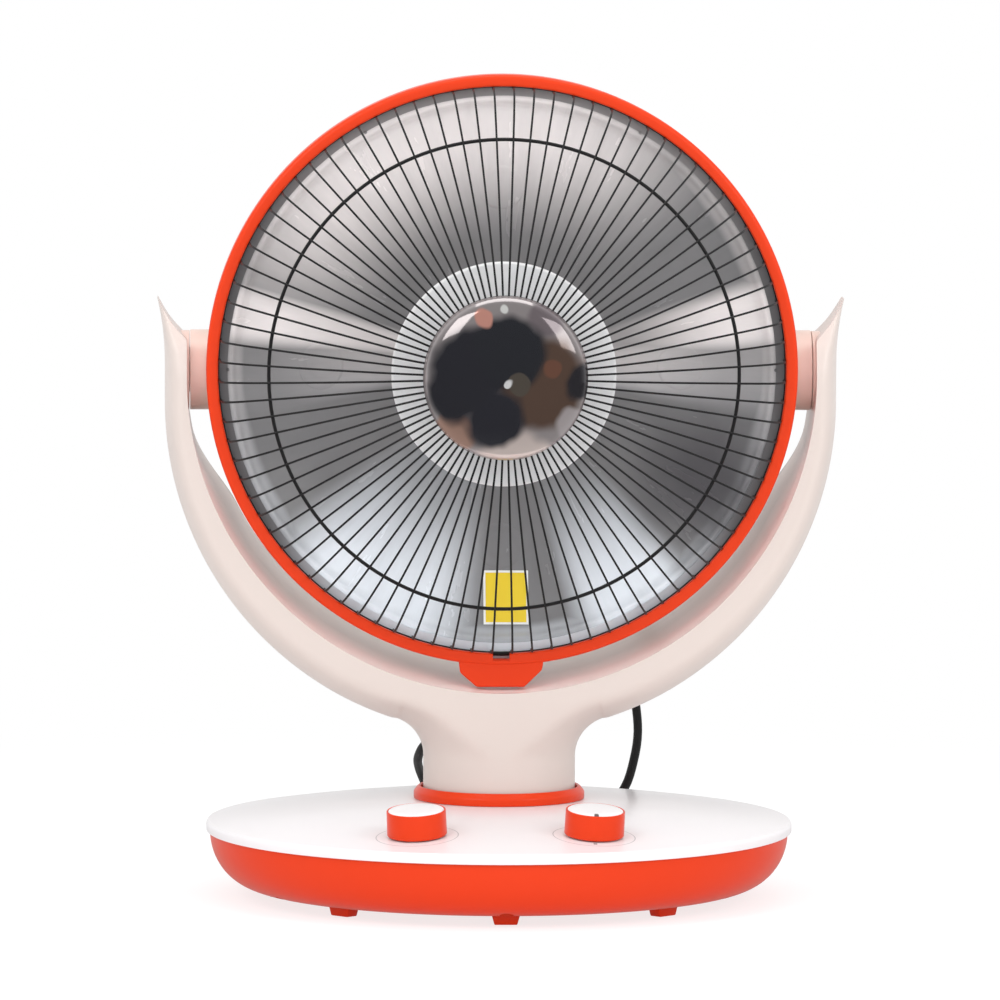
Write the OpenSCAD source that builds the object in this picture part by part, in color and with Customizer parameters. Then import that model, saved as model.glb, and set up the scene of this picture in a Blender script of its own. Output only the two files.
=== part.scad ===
// Tabletop carbon heater: a round radiant head that tilts in a U-shaped yoke,
// and a yoke that swings left and right on a round weighted base.
// Millimetres. Origin on the table under the middle of the base, front towards -Y.

/* [Base] */
// Radius of the white cover's rim
base_r = 172.5; // [168:0.5:180]
// Height of the foot blocks under the tray
foot_h = 6; // [5:0.5:8]
// Height of the tray's upper edge above the table
tray_top = 39; // [36:0.5:44]
// Width of the tray's curved wall seen from above
tray_run = 30.3; // [28:0.1:33]
// Wall of the moulded tray and cover
base_wall = 2.6; // [2:0.1:3.2]
// Height of the straight band at the cover's rim
rim_h = 4; // [3:0.5:6]
// Height of the dome's top above the table
dome_top = 59.5; // [58.5:0.5:62]
// Number of foot blocks
foot_count = 8; // [6:1:10]
// Distance of the foot blocks' middles inside the cover's rim
foot_in = 41.5; // [39:0.5:50]
// Width of a foot block at the table
foot_w = 13.5; // [10:0.5:16]
// Depth of a foot block, in and out
foot_d = 9; // [6:0.5:10]
// Thickness of the steel ballast plate
ballast_t = 6; // [4:0.5:7]
// Distance of the ballast plate's edge inside the tray's flat underside
ballast_in = 28; // [27:1:40]

/* [Knobs] */
// Diameter of a knob
knob_d = 34.6; // [30:0.2:38]
// Height of a knob
knob_h = 15; // [12:0.5:18]
// Distance of the knobs' middles inside the cover's rim
knob_in = 37.5; // [33:0.5:44]
// Angle of each knob from the front
knob_az = 22.2; // [20:0.2:28]
// Outward lean of a knob's spindle
knob_lean = 7.4; // [4:0.2:8]
// Diameter of the control spindles
spindle_d = 6; // [5:0.5:7]

/* [Swivel] */
// Outer diameter of the swivel spigot
spigot_d = 26; // [22:1:28]
// Bore of the spigot, for the wires
spigot_bore_d = 14; // [10:1:15]
// Outer radius of the orange collar
collar_r = 50.3; // [49:0.1:53]
// Height of the orange collar
collar_h = 7.3; // [6:0.1:9]
// Distance from the swing axis to the motor's shaft
crank_offset = 26; // [25:0.5:27]
// Throw of the crank's pin
crank_throw = 15.6; // [15:0.1:16.4]
// Diameter of the crank's pin
crank_pin_d = 6; // [5:0.5:6.5]
// Width of the slot in the swing arm
arm_slot_w = 8; // [7.8:0.1:9]

/* [Yoke] */
// Height of the neck under the yoke's round back
neck_h = 35.6; // [34:0.2:42]
// Thickness of the yoke's round back at the bottom
yoke_band = 13; // [12:0.5:16]
// Drop of the outer round's centre below the tilt axis
yoke_out_drop = 18.2; // [16:0.2:20]
// Gap between the front ring and the yoke's opening
yoke_gap = 11.2; // [10.8:0.1:12.4]
// Drop of the opening's centre below the tilt axis
yoke_in_drop = 2.8; // [2.4:0.1:3.4]
// Half depth of the arms at the tilt axis
arm_half_d = 34; // [31:0.5:38]
// Height of the arm tips above the tilt axis
tip_rise = 43; // [38:1:46]
// Wall of the yoke shells
yoke_wall = 2.4; // [2:0.1:2.8]
// Radius of the neck
neck_r = 44.7; // [43:0.1:46]
// Radius of the hollow curve from neck to arms
neck_flare = 24; // [22:0.5:26]

/* [Head] */
// Outer radius of the orange front ring
ring_r = 172.8; // [170:0.1:174]
// Width of the front ring's face
ring_face_w = 7; // [6:0.1:7.6]
// Depth of the front ring
ring_d = 16; // [14:0.5:18]
// Distance of the ring's front from the tilt axis
ring_front = 38; // [36:0.5:40]
// Height of the head's centre above the tilt axis
head_rise = 2; // [1:0.5:3]
// Width of the latch tab at the ring
latch_w = 50; // [40:1:56]
// Reach of the latch tab below the ring
latch_h = 13; // [8:0.2:13.4]
// Wall of the rear shell
head_wall = 2.4; // [2:0.1:3]
// Depth of the rear shell behind the tilt axis
rear_depth = 62; // [58:1:66]
// Radius of the rear cover
rear_cover_r = 58; // [54:1:62]
// Depth of the rear cover
rear_cover_d = 16; // [12:0.5:20]
// Diameter of the pivot bosses on the head
boss_d = 47; // [42:0.5:50]
// Diameter of the tilt pins
tilt_pin_d = 10; // [8:0.5:11]

/* [Grille] */
// Number of radial wires
wire_count = 88; // [60:4:96]
// Thickness of a radial wire
wire_d = 1.6; // [1.4:0.1:2]
// Distance of the reinforcing ring inside the front ring's edge
stay_in = 36.3; // [32:0.5:44]
// Distance of the reinforcing ring from the front ring's face
stay_out = 33; // [28:0.5:36]
// Radius of the inner ring that the wires end on
hub_r = 46.3; // [44:0.1:50]
// Distance of the inner ring from the front ring's face
hub_out = 58; // [54:0.5:62]
// Height of the chrome cap's dome
cap_h = 12; // [9:0.5:15]
// Radius of the bright shade behind the grille's centre
shade_r = 65.4; // [60:0.2:70]
// Distance of the shade from the front ring's face
shade_out = 28; // [26:0.5:32]

/* [Reflector] */
// Distance of the dish's edge inside the front ring's edge
dish_in = 14.8; // [14.5:0.1:18]
// Distance of the dish's middle behind the front ring's face
dish_d = 62; // [54:1:64]
// Thickness of the spun sheet
dish_t = 0.8; // [0.6:0.1:1.2]
// Radius of the hole for the element
dish_hole_r = 21; // [18:0.5:24]
// Distance of the pressed dimples inside the dish's edge
dimple_in = 55; // [48:1:63]
// Radius of a pressed dimple
dimple_r = 9; // [6:0.5:11]

/* [Element] */
// Diameter of the quartz tube
tube_d = 20; // [16:0.5:24]
// Wall of the quartz tube
tube_wall = 1.5; // [1.2:0.1:2]

/* [Lead] */
// Diameter of the lead
lead_d = 5.5; // [4.5:0.1:6]

/* [Fits] */
// Radial play of a turning pin or spigot
run_gap = 0.05; // [0.02:0.01:0.08]
// Gap at each side between fixed pieces that nest
seat_gap = 0.1; // [0.05:0.01:0.2]
// Gap between faces that move past each other
slide_gap = 0.2; // [0.1:0.05:0.4]
// Gap between curved faces that move past each other
curve_gap = 0.5; // [0.3:0.05:0.8]

/* [Hidden] */
$fn = 96;
eps = 0.01;

// Names of the sub-parts

// Colours
c_orange = [0.93, 0.25, 0.11];
c_white = [0.95, 0.94, 0.93];
c_cream = [0.93, 0.87, 0.83];
c_dark = [0.17, 0.16, 0.17];
c_steel = [0.62, 0.63, 0.65];
c_chrome = [0.82, 0.83, 0.85];
c_alu = [0.72, 0.72, 0.73];
c_ceramic = [0.92, 0.9, 0.84];
c_brass = [0.8, 0.66, 0.32];
c_black = [0.06, 0.06, 0.06];
c_quartz = [0.85, 0.88, 0.9];
c_yellow = [0.95, 0.8, 0.2];

// Base levels and radii
tray_lip_r = base_r - 2.2;
tray_flat_r = tray_lip_r - tray_run;
foot_ring_r = base_r - foot_in;
ballast_r = tray_flat_r - ballast_in;
knob_ring_r = base_r - knob_in;
floor_z = foot_h + base_wall;
rim_round = 3;
dome_edge_r = base_r - 2.5;
dome_edge_z = tray_top + rim_h + 2.5;
hub_flat_z = dome_top - 1;
boss_low_z = hub_flat_z - 17.1;
ballast_z = floor_z + seat_gap;
screw_ring_r = base_r - 24.5;
base_screw_count = 6;
post_d = 9;
post_top_z = 24;
screw_d = 4;
screw_head_d = 7.5;
screw_head_h = 2.6;
sink_z = foot_h + 4;

mains_gland_d = 12;
gland_z = tray_top - 15;
gland_rx = tray_lip_r - tray_flat_r;
gland_rz = tray_top - foot_h;
gland_in = gland_rx * sqrt(1 - pow((tray_top - gland_z) / gland_rz, 2));
gland_r = tray_flat_r + gland_in;
gland_lean = atan(pow(gland_rx / gland_rz, 2) * (tray_top - gland_z) / gland_in);

// Swivel levels
bush_flange_t = 1.5;
bush_flange_r = 42;
neck_foot_z = hub_flat_z + bush_flange_t + slide_gap;
neck_floor_t = 3;
arm_t = 4;
arm_top_z = boss_low_z - 2 * slide_gap;
arm_low_z = arm_top_z - arm_t;
spigot_step_d = spigot_d - 6;
nut_t = 3.2;
nut_d = spigot_d + 4;
spigot_low_z = arm_low_z - nut_t - 0.3;
spigot_flange_t = 3;
spigot_flange_r = 30;
spigot_screw_r = 22;
bush_t = 3.9;

// Swing drive
crank_r = crank_throw + 4.4;
crank_t = 3.5;
crank_top_z = spigot_low_z - 1.6;
crank_low_z = crank_top_z - crank_t;
motor_r = 24;
motor_h = 11;
motor_low_z = crank_low_z - 1.2 - motor_h;
motor_lug_x = 30;
motor_lug_t = 2;
motor_shaft_d = 5;
motor_post_d = 8;

// Knob places
knob_gap = 0.6;
dome_sag = dome_top - dome_edge_z;
function dome_z(r) = dome_top - dome_sag * pow(r / dome_edge_r, 2);
knob_z = dome_z(knob_ring_r);
inset_r = knob_d / 2 - 2;
inset_t = 1.6;
control_w = 40;
control_h = 20;
control_drop = base_wall + 1;

// Yoke centres and levels
yoke_in_r = ring_r + yoke_gap;
yoke_out_r = yoke_in_r + yoke_band;
pivot_z = neck_foot_z + neck_h + yoke_out_r + yoke_out_drop;
out_z = pivot_z - yoke_out_drop;
in_z = pivot_z - yoke_in_drop;
yoke_face_r = yoke_out_r - 6.5;
flat_half = 6;
crown_run = arm_half_d - flat_half;
crown_fall = yoke_out_r - yoke_face_r;
crown_r = (crown_run * crown_run + crown_fall * crown_fall) / (2 * crown_fall);
neck_half_d = neck_r + 0.15;
saddle_r = 0.76 * yoke_out_r;
saddle_drop = 0.8;
pad_face_x = yoke_in_r - 0.6;
bush_face_t = 1.2;
bush_out_d = tilt_pin_d + 4;
bush_flange_d = tilt_pin_d + 16;
boss_face_x = pad_face_x - bush_face_t - slide_gap / 2;
pin_head_d = tilt_pin_d + 6;
pin_head_t = 3;
pad_depth = 5.2;
bush_end_x = pad_face_x + pad_depth + 1;
pin_head_x = bush_end_x + 0.3;
pin_root_x = boss_face_x - 16;
pin_boss_l = 26;
yoke_boss_d = 8;
yoke_screw_d = 3.5;
yoke_screw_angles = [-150, -122, -58, -30];
flare_x = neck_r + neck_flare;
flare_tilt = 88.5 - asin(flare_x / (yoke_out_r + neck_flare));
flare_end_x = flare_x - neck_flare * cos(flare_tilt);
flare_z = out_z - sqrt(pow(yoke_out_r, 2) - pow(flare_end_x, 2)) - neck_flare * sin(flare_tilt);
neck_gland_z = flare_z + 26;
gland_bore_d = 10;

// Head levels along its own axis, front is +
head_z = pivot_z + head_rise;
skirt_t = 2.5;
skirt_in_r = ring_r - skirt_t;
face_in_r = ring_r - ring_face_w;
face_t = 5;
rim_wire_d = 3.2;
rim_wire_r = face_in_r + 0.2;
rim_wire_z = ring_front - face_t - rim_wire_d / 2;
baffle_t = 1.2;
baffle_z = rim_wire_z - rim_wire_d / 2 - baffle_t;
ring_back_z = ring_front - ring_d;
lug_d = 8;
lug_r = skirt_in_r - lug_d / 2 + 0.4;
lug_t = 5;
head_screw_count = 6;
head_screw_start = 30;
head_screw_d = 3.5;
head_screw_head_d = 6;
dish_r = ring_r - dish_in;
dimple_ring_r = dish_r - dimple_in;
stay_r = ring_r - stay_in;
flange_r = dish_r + 4.2;
rivet_r = dish_r + 2.15;
dish_back_z = ring_front - dish_d;
dish_wall_drop = 9;
rear_back_z = -rear_depth;
cover_back_z = rear_back_z - rear_cover_d;
wire_r = face_in_r - wire_d / 2 - 0.2;
stay_z = ring_front + stay_out;
hub_z = ring_front + hub_out;
hub_wire_d = 3;
stay_wire_d = 2.6;
cap_r = hub_r - 1;
cap_wall = 0.8;
cap_z = hub_z + hub_wire_d / 2;
clamp_t = 1.5;
clamp_z = hub_z - hub_wire_d / 2 - clamp_t;
shade_z = ring_front + shade_out;
shade_t = 0.8;
spacer_r = 30;
spacer_d = 6;
tube_low_z = dish_back_z - 4;
tube_top_z = shade_z - 9;
lead_gap = 0.3;
gland_x = 26;
gland_drop = 34;
cover_screw_d = 3;
cover_screw_r = rear_cover_r - 10;

// Form of the lead's route, from the head's back down to a loop behind the base and up to the neck
lead_form = [
    [26, 80, 279], [26, 88, 279], [27, 99, 277], [31, 115, 268], [39, 129, 250], [51, 137, 225],
    [64, 141, 195], [75, 143, 160], [82, 146, 128], [87, 150, 100], [89, 156, 80],
    [87, 164, 62], [82, 174, 44], [71, 184, 29], [53, 191, 18], [29, 194, 13],
    [4, 193, 14], [-16, 188, 21], [-30, 182, 32], [-38, 175, 44], [-42.5, 163, 54.5], [-44.5, 147, 62],
    [-44.5, 130, 68.5], [-42.5, 115, 75], [-37, 102, 82.5], [-28.5, 91.5, 90.5], [-18.5, 82.5, 97.5],
    [-9.5, 74, 103.3], [-3.8, 65.5, 106.9], [-0.9, 57.5, 108.4], [0, 49, 108.8]
];

// How far a height lies on the way from low to high, between 0 and 1
function share(z, low, high) = min(max((z - low) / (high - low), 0), 1);

// The route follows the head's gland, the neck's gland and the edge of the base
lead_route = [for (p = lead_form) let (up = share(p[2], 109, 279), low = 1 - share(p[2], 70, 108.6)) [
    p[0],
    p[1] + up * (-cover_back_z - 78) + low * (base_r - 172.5) + (1 - up) * (1 - low) * (neck_half_d - 44.85),
    p[2] + up * (head_z - 313) + (1 - up) * (neck_gland_z - 108.8)]];

// Points on an arc
function arc(cx, cy, r, a0, a1, n) =
    [for (i = [0:n]) let (a = a0 + (a1 - a0) * i / n) [cx + r * cos(a), cy + r * sin(a)]];

// Points on a quarter ellipse
function ellipse_arc(cx, cy, rx, ry, a0, a1, n) =
    [for (i = [0:n]) let (a = a0 + (a1 - a0) * i / n) [cx + rx * cos(a), cy + ry * sin(a)]];

// Copies of the children round the Z axis
module ring_of(n, start = 0) {
    for (i = [0:n - 1]) rotate([0, 0, start + i * 360 / n]) children();
}

// A tube along Z
module tube(r_out, r_in, h) {
    difference() {
        cylinder(r = r_out, h = h);
        translate([0, 0, -1]) cylinder(r = r_in, h = h + 2);
    }
}

// Pan-head screw, head at the bottom, thread upwards
module pan_screw(d, head_d, head_h, l) {
    difference() {
        union() {
            cylinder(d = head_d, h = head_h);
            cylinder(d = d, h = head_h + l);
        }
        for (a = [0, 90]) rotate([0, 0, a]) translate([-head_d / 4, -0.4, -1]) cube([head_d / 2, 0.8, 2]);
    }
}

// Moves the children to a knob's seat, side -1 is the left knob and 1 the right one
module at_knob(side) {
    rotate([0, 0, side * knob_az]) translate([0, -knob_ring_r, knob_z]) rotate([knob_lean, 0, 0]) children();
}

// Turns the head's own axis to the front and lifts it to its place
module in_head() {
    translate([0, 0, head_z]) rotate([90, 0, 0]) children();
}

// Outline of the tray or its inside, from the middle outwards
module tray_outline(inset, top) {
    rx = tray_lip_r - tray_flat_r - inset;
    rz = tray_top - foot_h - inset;
    polygon(concat([[0, foot_h + inset]],
        ellipse_arc(tray_flat_r, tray_top, rx, rz, -90, 0, 18),
        [[tray_lip_r - inset, top], [0, top]]));
}

module tray_screw_holes() {
    ring_of(base_screw_count, 90) translate([screw_ring_r, 0, 0]) {
        translate([0, 0, foot_h - 1]) cylinder(d = screw_head_d + 1, h = sink_z - foot_h + 1);
        translate([0, 0, foot_h - 1]) cylinder(d = screw_d + 0.6, h = post_top_z);
    }
}

module base_shell() {
    color(c_orange) difference() {
        union() {
            difference() {
                rotate_extrude() tray_outline(0, tray_top);
                rotate_extrude() tray_outline(base_wall, tray_top + 1);
            }
            intersection() {
                ring_of(base_screw_count, 90) translate([screw_ring_r, 0, foot_h])
                    cylinder(d = screw_head_d + 5, h = post_top_z - foot_h);
                rotate_extrude() tray_outline(base_wall / 2, tray_top);
            }
            for (s = [-1, 1]) translate([s * motor_lug_x, crank_offset, foot_h + 1])
                cylinder(d = motor_post_d, h = motor_low_z + 6 - foot_h - 1);
            ring_of(4, 20) translate([ballast_r - 12, 0, foot_h + 1])
                cylinder(d = 6, h = floor_z + ballast_t - foot_h - 1);
        }
        tray_screw_holes();
        for (s = [-1, 1]) translate([s * motor_lug_x, crank_offset, motor_low_z - 4])
            cylinder(d = 2.6, h = 20);
        ring_of(foot_count, -90) translate([foot_ring_r, 0, 0])
            cylinder(d = 5 + 2 * seat_gap, h = floor_z + 1);
        mains_gland_place() translate([0, 0, -9]) cylinder(d = mains_gland_d + 2 * seat_gap, h = 20);
    }
}

module feet() {
    color(c_orange) ring_of(foot_count, -90) translate([foot_ring_r, 0, 0]) {
        rotate([90, 0, 90]) translate([0, 0, -foot_d / 2]) linear_extrude(foot_d)
            polygon([[-foot_w / 2, 0], [foot_w / 2, 0], [foot_w / 2 + 3, foot_h],
                [-foot_w / 2 - 3, foot_h]]);
        cylinder(d = 5, h = floor_z - 0.4);
    }
}

module ballast_plate() {
    color(c_steel) translate([0, 0, ballast_z]) difference() {
        tube(ballast_r, 42, ballast_t);
        for (s = [-1, 1]) translate([s * motor_lug_x, crank_offset, -1])
            cylinder(d = motor_post_d + 2, h = ballast_t + 2);
        ring_of(4, 20) translate([ballast_r - 12, 0, -1]) cylinder(d = 6 + 4 * seat_gap, h = ballast_t + 2);
    }
}

module base_screws() {
    color(c_steel) ring_of(base_screw_count, 90)
        translate([screw_ring_r, 0, sink_z - screw_head_h])
            pan_screw(screw_d, screw_head_d, screw_head_h, post_top_z + 8 - sink_z);
}

// Outline of the cover's outside: skirt, rim, dome and flat middle
module cover_outline(inset) {
    n = 18;
    polygon(concat(
        [[base_r - inset, tray_top + inset]],
        [[base_r - inset, tray_top + rim_h]],
        arc(base_r - rim_round, tray_top + rim_h, rim_round - inset, 0, 45, 4),
        [for (i = [0:n]) let (r = dome_edge_r * (1 - i / n) - inset * 0.2)
            [max(r, 0), min(dome_z(max(r, 0)), hub_flat_z) - inset]],
        [[0, tray_top + inset]]));
}

module base_top() {
    nest_r = tray_lip_r - base_wall - 3 * seat_gap;
    nest_d = 3;
    color(c_white) difference() {
        union() {
            difference() {
                rotate_extrude() cover_outline(0);
                rotate_extrude() cover_outline(base_wall);
                translate([0, 0, tray_top - 1]) cylinder(r = nest_r - 2, h = base_wall + 2);
            }
            translate([0, 0, tray_top - nest_d]) tube(nest_r, nest_r - 2, nest_d + 1 + base_wall);
            translate([0, 0, boss_low_z])
                cylinder(r = spigot_d / 2 + bush_t + 4.2, h = hub_flat_z - boss_low_z - 1);
            intersection() {
                ring_of(base_screw_count, 90) translate([screw_ring_r, 0, post_top_z])
                    cylinder(d = post_d, h = dome_top - post_top_z);
                rotate_extrude() cover_outline_solid();
            }
        }
        translate([0, 0, boss_low_z - 1]) cylinder(r = spigot_d / 2 + bush_t + seat_gap, h = 30);
        ring_of(base_screw_count, 90) translate([screw_ring_r, 0, post_top_z - 1])
            cylinder(d = screw_d - 0.8 + eps, h = 13);
        ring_of(base_screw_count, 90) translate([screw_ring_r, 0, post_top_z - 1])
            cylinder(d = screw_d + 2 * seat_gap, h = 9.6);
        for (s = [-1, 1]) at_knob(s) translate([0, 0, -12]) cylinder(d = spindle_d + 1.4, h = 20);
    }
}

// The cover's outside as a solid down to the posts' foot
module cover_outline_solid() {
    n = 18;
    polygon(concat([[0, post_top_z], [dome_edge_r - 6, post_top_z]],
        [for (i = [0:n]) let (r = (dome_edge_r - 6) * (1 - i / n)) [r, dome_z(r) - 1.2]]));
}

module swivel_collar() {
    neck_play = curve_gap;
    r_in = neck_r + neck_play;
    r_mid = (r_in + collar_r) / 2;
    half = (collar_r - r_in) / 2;
    color(c_orange) translate([0, 0, hub_flat_z]) rotate_extrude()
        polygon(concat([[r_in, 0], [collar_r - 0.8, 0]],
            arc(collar_r - 2.4, 2.4, 2.4, -60, 60, 6),
            arc(r_mid, collar_h - half, half, 20, 180, 10)));
}

module swivel_bush() {
    color(c_ceramic) difference() {
        union() {
            translate([0, 0, boss_low_z])
                cylinder(r = spigot_d / 2 + bush_t, h = hub_flat_z - boss_low_z + 0.5);
            translate([0, 0, hub_flat_z]) cylinder(r = bush_flange_r, h = bush_flange_t);
        }
        translate([0, 0, boss_low_z - 1]) cylinder(r = spigot_d / 2 + run_gap, h = 40);
    }
}

module swing_motor() {
    color(c_steel) translate([0, crank_offset, motor_low_z]) difference() {
        union() {
            cylinder(r = motor_r, h = motor_h);
            translate([0, 0, motor_h - 0.5]) cylinder(r = 6, h = 1.1);
            for (s = [-1, 1]) hull_lug(s);
        }
        for (s = [-1, 1]) translate([s * motor_lug_x, 0, 4]) cylinder(d = 3.4, h = 6);
        translate([0, 0, motor_h - 6]) cylinder(d = motor_shaft_d + 2 * run_gap, h = 10);
    }
}

// One mounting lug of the motor
module hull_lug(side) {
    translate([side * (motor_lug_x - 6), -5, 6 + seat_gap]) cube([12, 10, motor_lug_t], center = false);
    translate([side * (motor_lug_x - 6) - (side > 0 ? 4 : 8), -5, 6 + seat_gap]) cube([12, 10, motor_lug_t]);
}

module motor_screws() {
    color(c_steel) for (s = [-1, 1])
        translate([s * motor_lug_x, crank_offset, motor_low_z + 6 + seat_gap + motor_lug_t + 2])
            mirror([0, 0, 1]) pan_screw(2.5, 5.5, 2, motor_lug_t + 6);
}

// Body of a control under the cover, with its threaded nose and its terminals
module control_body(side) {
    at_knob(side) difference() {
        union() {
            translate([-control_w / 2, -control_w / 2, -control_drop - control_h])
                cube([control_w, control_w, control_h]);
            translate([0, 0, -control_drop - 1]) cylinder(d = 13, h = 1 + control_drop - base_wall - 0.4);
            for (x = [-12, 0, 12]) translate([x - 3, control_w / 2 - 6, -control_drop - control_h - 5])
                cube([6, 0.8, 6]);
        }
        translate([0, 0, -control_drop - control_h + 4])
            cylinder(d = spindle_d + 2 * run_gap, h = control_h + 10);
    }
}

module timer() { color(c_white) control_body(-1); }

module power_switch() { color(c_dark) control_body(1); }

// Spindle of a control, with a flat for the knob
module spindle(side) {
    at_knob(side) difference() {
        translate([0, 0, -control_drop - control_h + 5])
            cylinder(d = spindle_d, h = control_h + control_drop + 4);
        translate([spindle_d / 2 - 1, -5, knob_gap]) cube([5, 10, 20]);
    }
}

// Knob skirt with a raised rim and a socket for the spindle
module knob(side) {
    at_knob(side) translate([0, 0, knob_gap]) difference() {
        rotate_extrude() polygon(concat(
            [[0, 0], [knob_d / 2 - 0.6, 0], [knob_d / 2, 0.6]],
            arc(knob_d / 2 - 1, knob_h - 1, 1, 0, 90, 4),
            [[inset_r, knob_h], [inset_r, knob_h - inset_t], [0, knob_h - inset_t]]));
        translate([0, 0, -1]) difference() {
            cylinder(r = spindle_d / 2 + seat_gap, h = 10.5);
            translate([spindle_d / 2 - 1 + seat_gap, -5, -1]) cube([5, 10, 20]);
        }
        translate([0, 0, -1]) difference() {
            cylinder(r = knob_d / 2 - 2.5, h = 9);
            translate([0, 0, -1]) cylinder(r = spindle_d / 2 + 2.5, h = 12);
            translate([-1, -knob_d / 2, 0]) cube([2, knob_d, 12]);
        }
    }
}

// White disc in the top of a knob, with a pointer groove
module knob_inset(side) {
    at_knob(side) translate([0, 0, knob_gap + knob_h - inset_t]) difference() {
        cylinder(r = inset_r - seat_gap, h = 1);
        translate([-0.7, -inset_r - 1, 0.6]) cube([1.4, inset_r * 0.7, 1]);
    }
}

module timer_spindle() { color(c_brass) spindle(-1); }

module power_spindle() { color(c_brass) spindle(1); }

module timer_knob() { color(c_orange) knob(-1); }

module power_knob() { color(c_orange) knob(1); }

module timer_knob_inset() { color(c_white) knob_inset(-1); }

module power_knob_inset() { color(c_white) knob_inset(1); }

module tip_over_switch() {
    color(c_dark) translate([56, 66, ballast_z + ballast_t]) difference() {
        translate([-14, -9, 0]) cube([28, 18, 14]);
        for (x = [-10, 10]) translate([x, 0, -1]) cylinder(d = 3, h = 16);
    }
}

module terminal_block() {
    color(c_ceramic) translate([-60, 62, ballast_z + ballast_t]) difference() {
        translate([-18, -9, 0]) cube([36, 18, 11]);
        for (x = [-12, 0, 12]) translate([x, 0, 5]) cylinder(d = 4, h = 8);
        for (x = [-12, 0, 12]) translate([x, -10, 5]) rotate([-90, 0, 0]) cylinder(d = 3, h = 20);
    }
}

// Place of the mains lead's gland in the back of the tray, its axis square to the wall
module mains_gland_place() {
    rotate([0, 0, 20]) translate([0, gland_r, gland_z]) rotate([-90 - gland_lean, 0, 0]) children();
}

module mains_gland() {
    color(c_black) mains_gland_place() difference() {
        union() {
            translate([0, 0, -8]) cylinder(d = mains_gland_d, h = 9);
            translate([0, 0, 0.3]) cylinder(d = mains_gland_d + 3, h = 2);
            translate([0, 0, -7]) cylinder(d = mains_gland_d + 2, h = 2);
        }
        translate([0, 0, -12]) cylinder(d = mains_gland_d - 5, h = 20);
    }
}

module motor_shaft() {
    color(c_steel) translate([0, crank_offset, motor_low_z + motor_h - 5.6])
        cylinder(d = motor_shaft_d, h = crank_top_z - motor_low_z - motor_h + 5.6);
}

module crank() {
    color(c_white) translate([0, crank_offset, crank_low_z]) difference() {
        union() {
            cylinder(r = crank_r, h = crank_t);
            translate([0, crank_throw, crank_t - 0.5])
                cylinder(d = crank_pin_d, h = arm_top_z - crank_top_z + 0.5);
        }
        translate([0, 0, -1]) cylinder(d = motor_shaft_d + seat_gap / 2, h = crank_t + 2);
    }
}

module swing_arm() {
    slot_near = crank_offset - 2.5;
    slot_far = crank_offset + crank_throw + 1.5;
    color(c_steel) translate([0, 0, arm_low_z]) difference() {
        union() {
            cylinder(d = spigot_d + 8, h = arm_t);
            translate([-arm_slot_w, 0, 0]) cube([2 * arm_slot_w, slot_far, arm_t]);
            translate([0, slot_far, 0]) cylinder(r = arm_slot_w, h = arm_t);
        }
        translate([0, 0, -1]) cylinder(r = spigot_step_d / 2 + seat_gap / 2, h = arm_t + 2);
        translate([-arm_slot_w / 2, slot_near, -1]) cube([arm_slot_w, slot_far - slot_near, arm_t + 2]);
        for (y = [slot_near, slot_far]) translate([0, y, -1]) cylinder(d = arm_slot_w, h = arm_t + 2);
    }
}

module spigot() {
    floor_top = neck_foot_z + neck_floor_t;
    color(c_steel) difference() {
        union() {
            translate([0, 0, spigot_low_z]) cylinder(d = spigot_step_d, h = arm_top_z - spigot_low_z + 1);
            translate([0, 0, arm_top_z]) cylinder(d = spigot_d, h = floor_top - arm_top_z + 1);
            translate([0, 0, floor_top]) cylinder(r = spigot_flange_r, h = spigot_flange_t);
        }
        translate([0, 0, spigot_low_z - 1]) cylinder(d = spigot_bore_d, h = 60);
        ring_of(4, 45) translate([spigot_screw_r, 0, floor_top - 1]) cylinder(d = 4.4, h = 10);
    }
}

module spigot_screws() {
    top = neck_foot_z + neck_floor_t + spigot_flange_t;
    color(c_steel) ring_of(4, 45) translate([spigot_screw_r, 0, top + 2.4])
        mirror([0, 0, 1]) pan_screw(4, 7, 2.4, spigot_flange_t + neck_floor_t - 0.4);
}

module spigot_nut() {
    color(c_brass) translate([0, 0, arm_low_z - nut_t]) difference() {
        cylinder(d = nut_d, h = nut_t, $fn = 6);
        translate([0, 0, -1]) cylinder(r = spigot_step_d / 2 + seat_gap / 2, h = nut_t + 2);
    }
}

// Crowned edge of the yoke's round back: radius against depth
function crown_drop(y) = y <= flat_half ? 0 : crown_r - sqrt(pow(crown_r, 2) - pow(y - flat_half, 2));

function crown_points(inset, y_max, n) = concat(
    [for (i = [0:n]) let (y = y_max - i * (y_max - flat_half) / n) [yoke_out_r - crown_drop(y) - inset, y]],
    [for (i = [0:n]) let (y = flat_half + i * (y_max - flat_half) / n)
        [yoke_out_r - crown_drop(y) - inset, -y]]);

// The lower half of the round back as a half wheel on its own centre
module yoke_wheel(inset) {
    y_max = neck_half_d + 1;
    translate([0, 0, out_z]) rotate([90, 0, 0]) rotate_extrude(angle = 180, start = 180)
        polygon(concat([[0, y_max]], crown_points(inset, y_max, 5), [[0, -y_max]]));
}

// Fuller underside over the neck, fading into the round back
module yoke_saddle(inset) {
    y_max = neck_half_d + 1;
    translate([0, 0, out_z - yoke_out_r + saddle_r - saddle_drop]) rotate([90, 0, 0])
        translate([0, 0, -y_max]) cylinder(r = saddle_r - inset, h = 2 * y_max);
}

// One straight length of arm with the section of the wheel's rim
module arm_length(inset, z, lean, shift, l) {
    y_max = neck_half_d + 1;
    translate([yoke_out_r + shift, 0, z]) rotate([0, lean, 0]) translate([-yoke_out_r, 0, lean > 0 ? -3 : 0])
        linear_extrude(l) polygon(concat([[100, y_max]], crown_points(inset, y_max, 5), [[100, -y_max]]));
}

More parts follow.
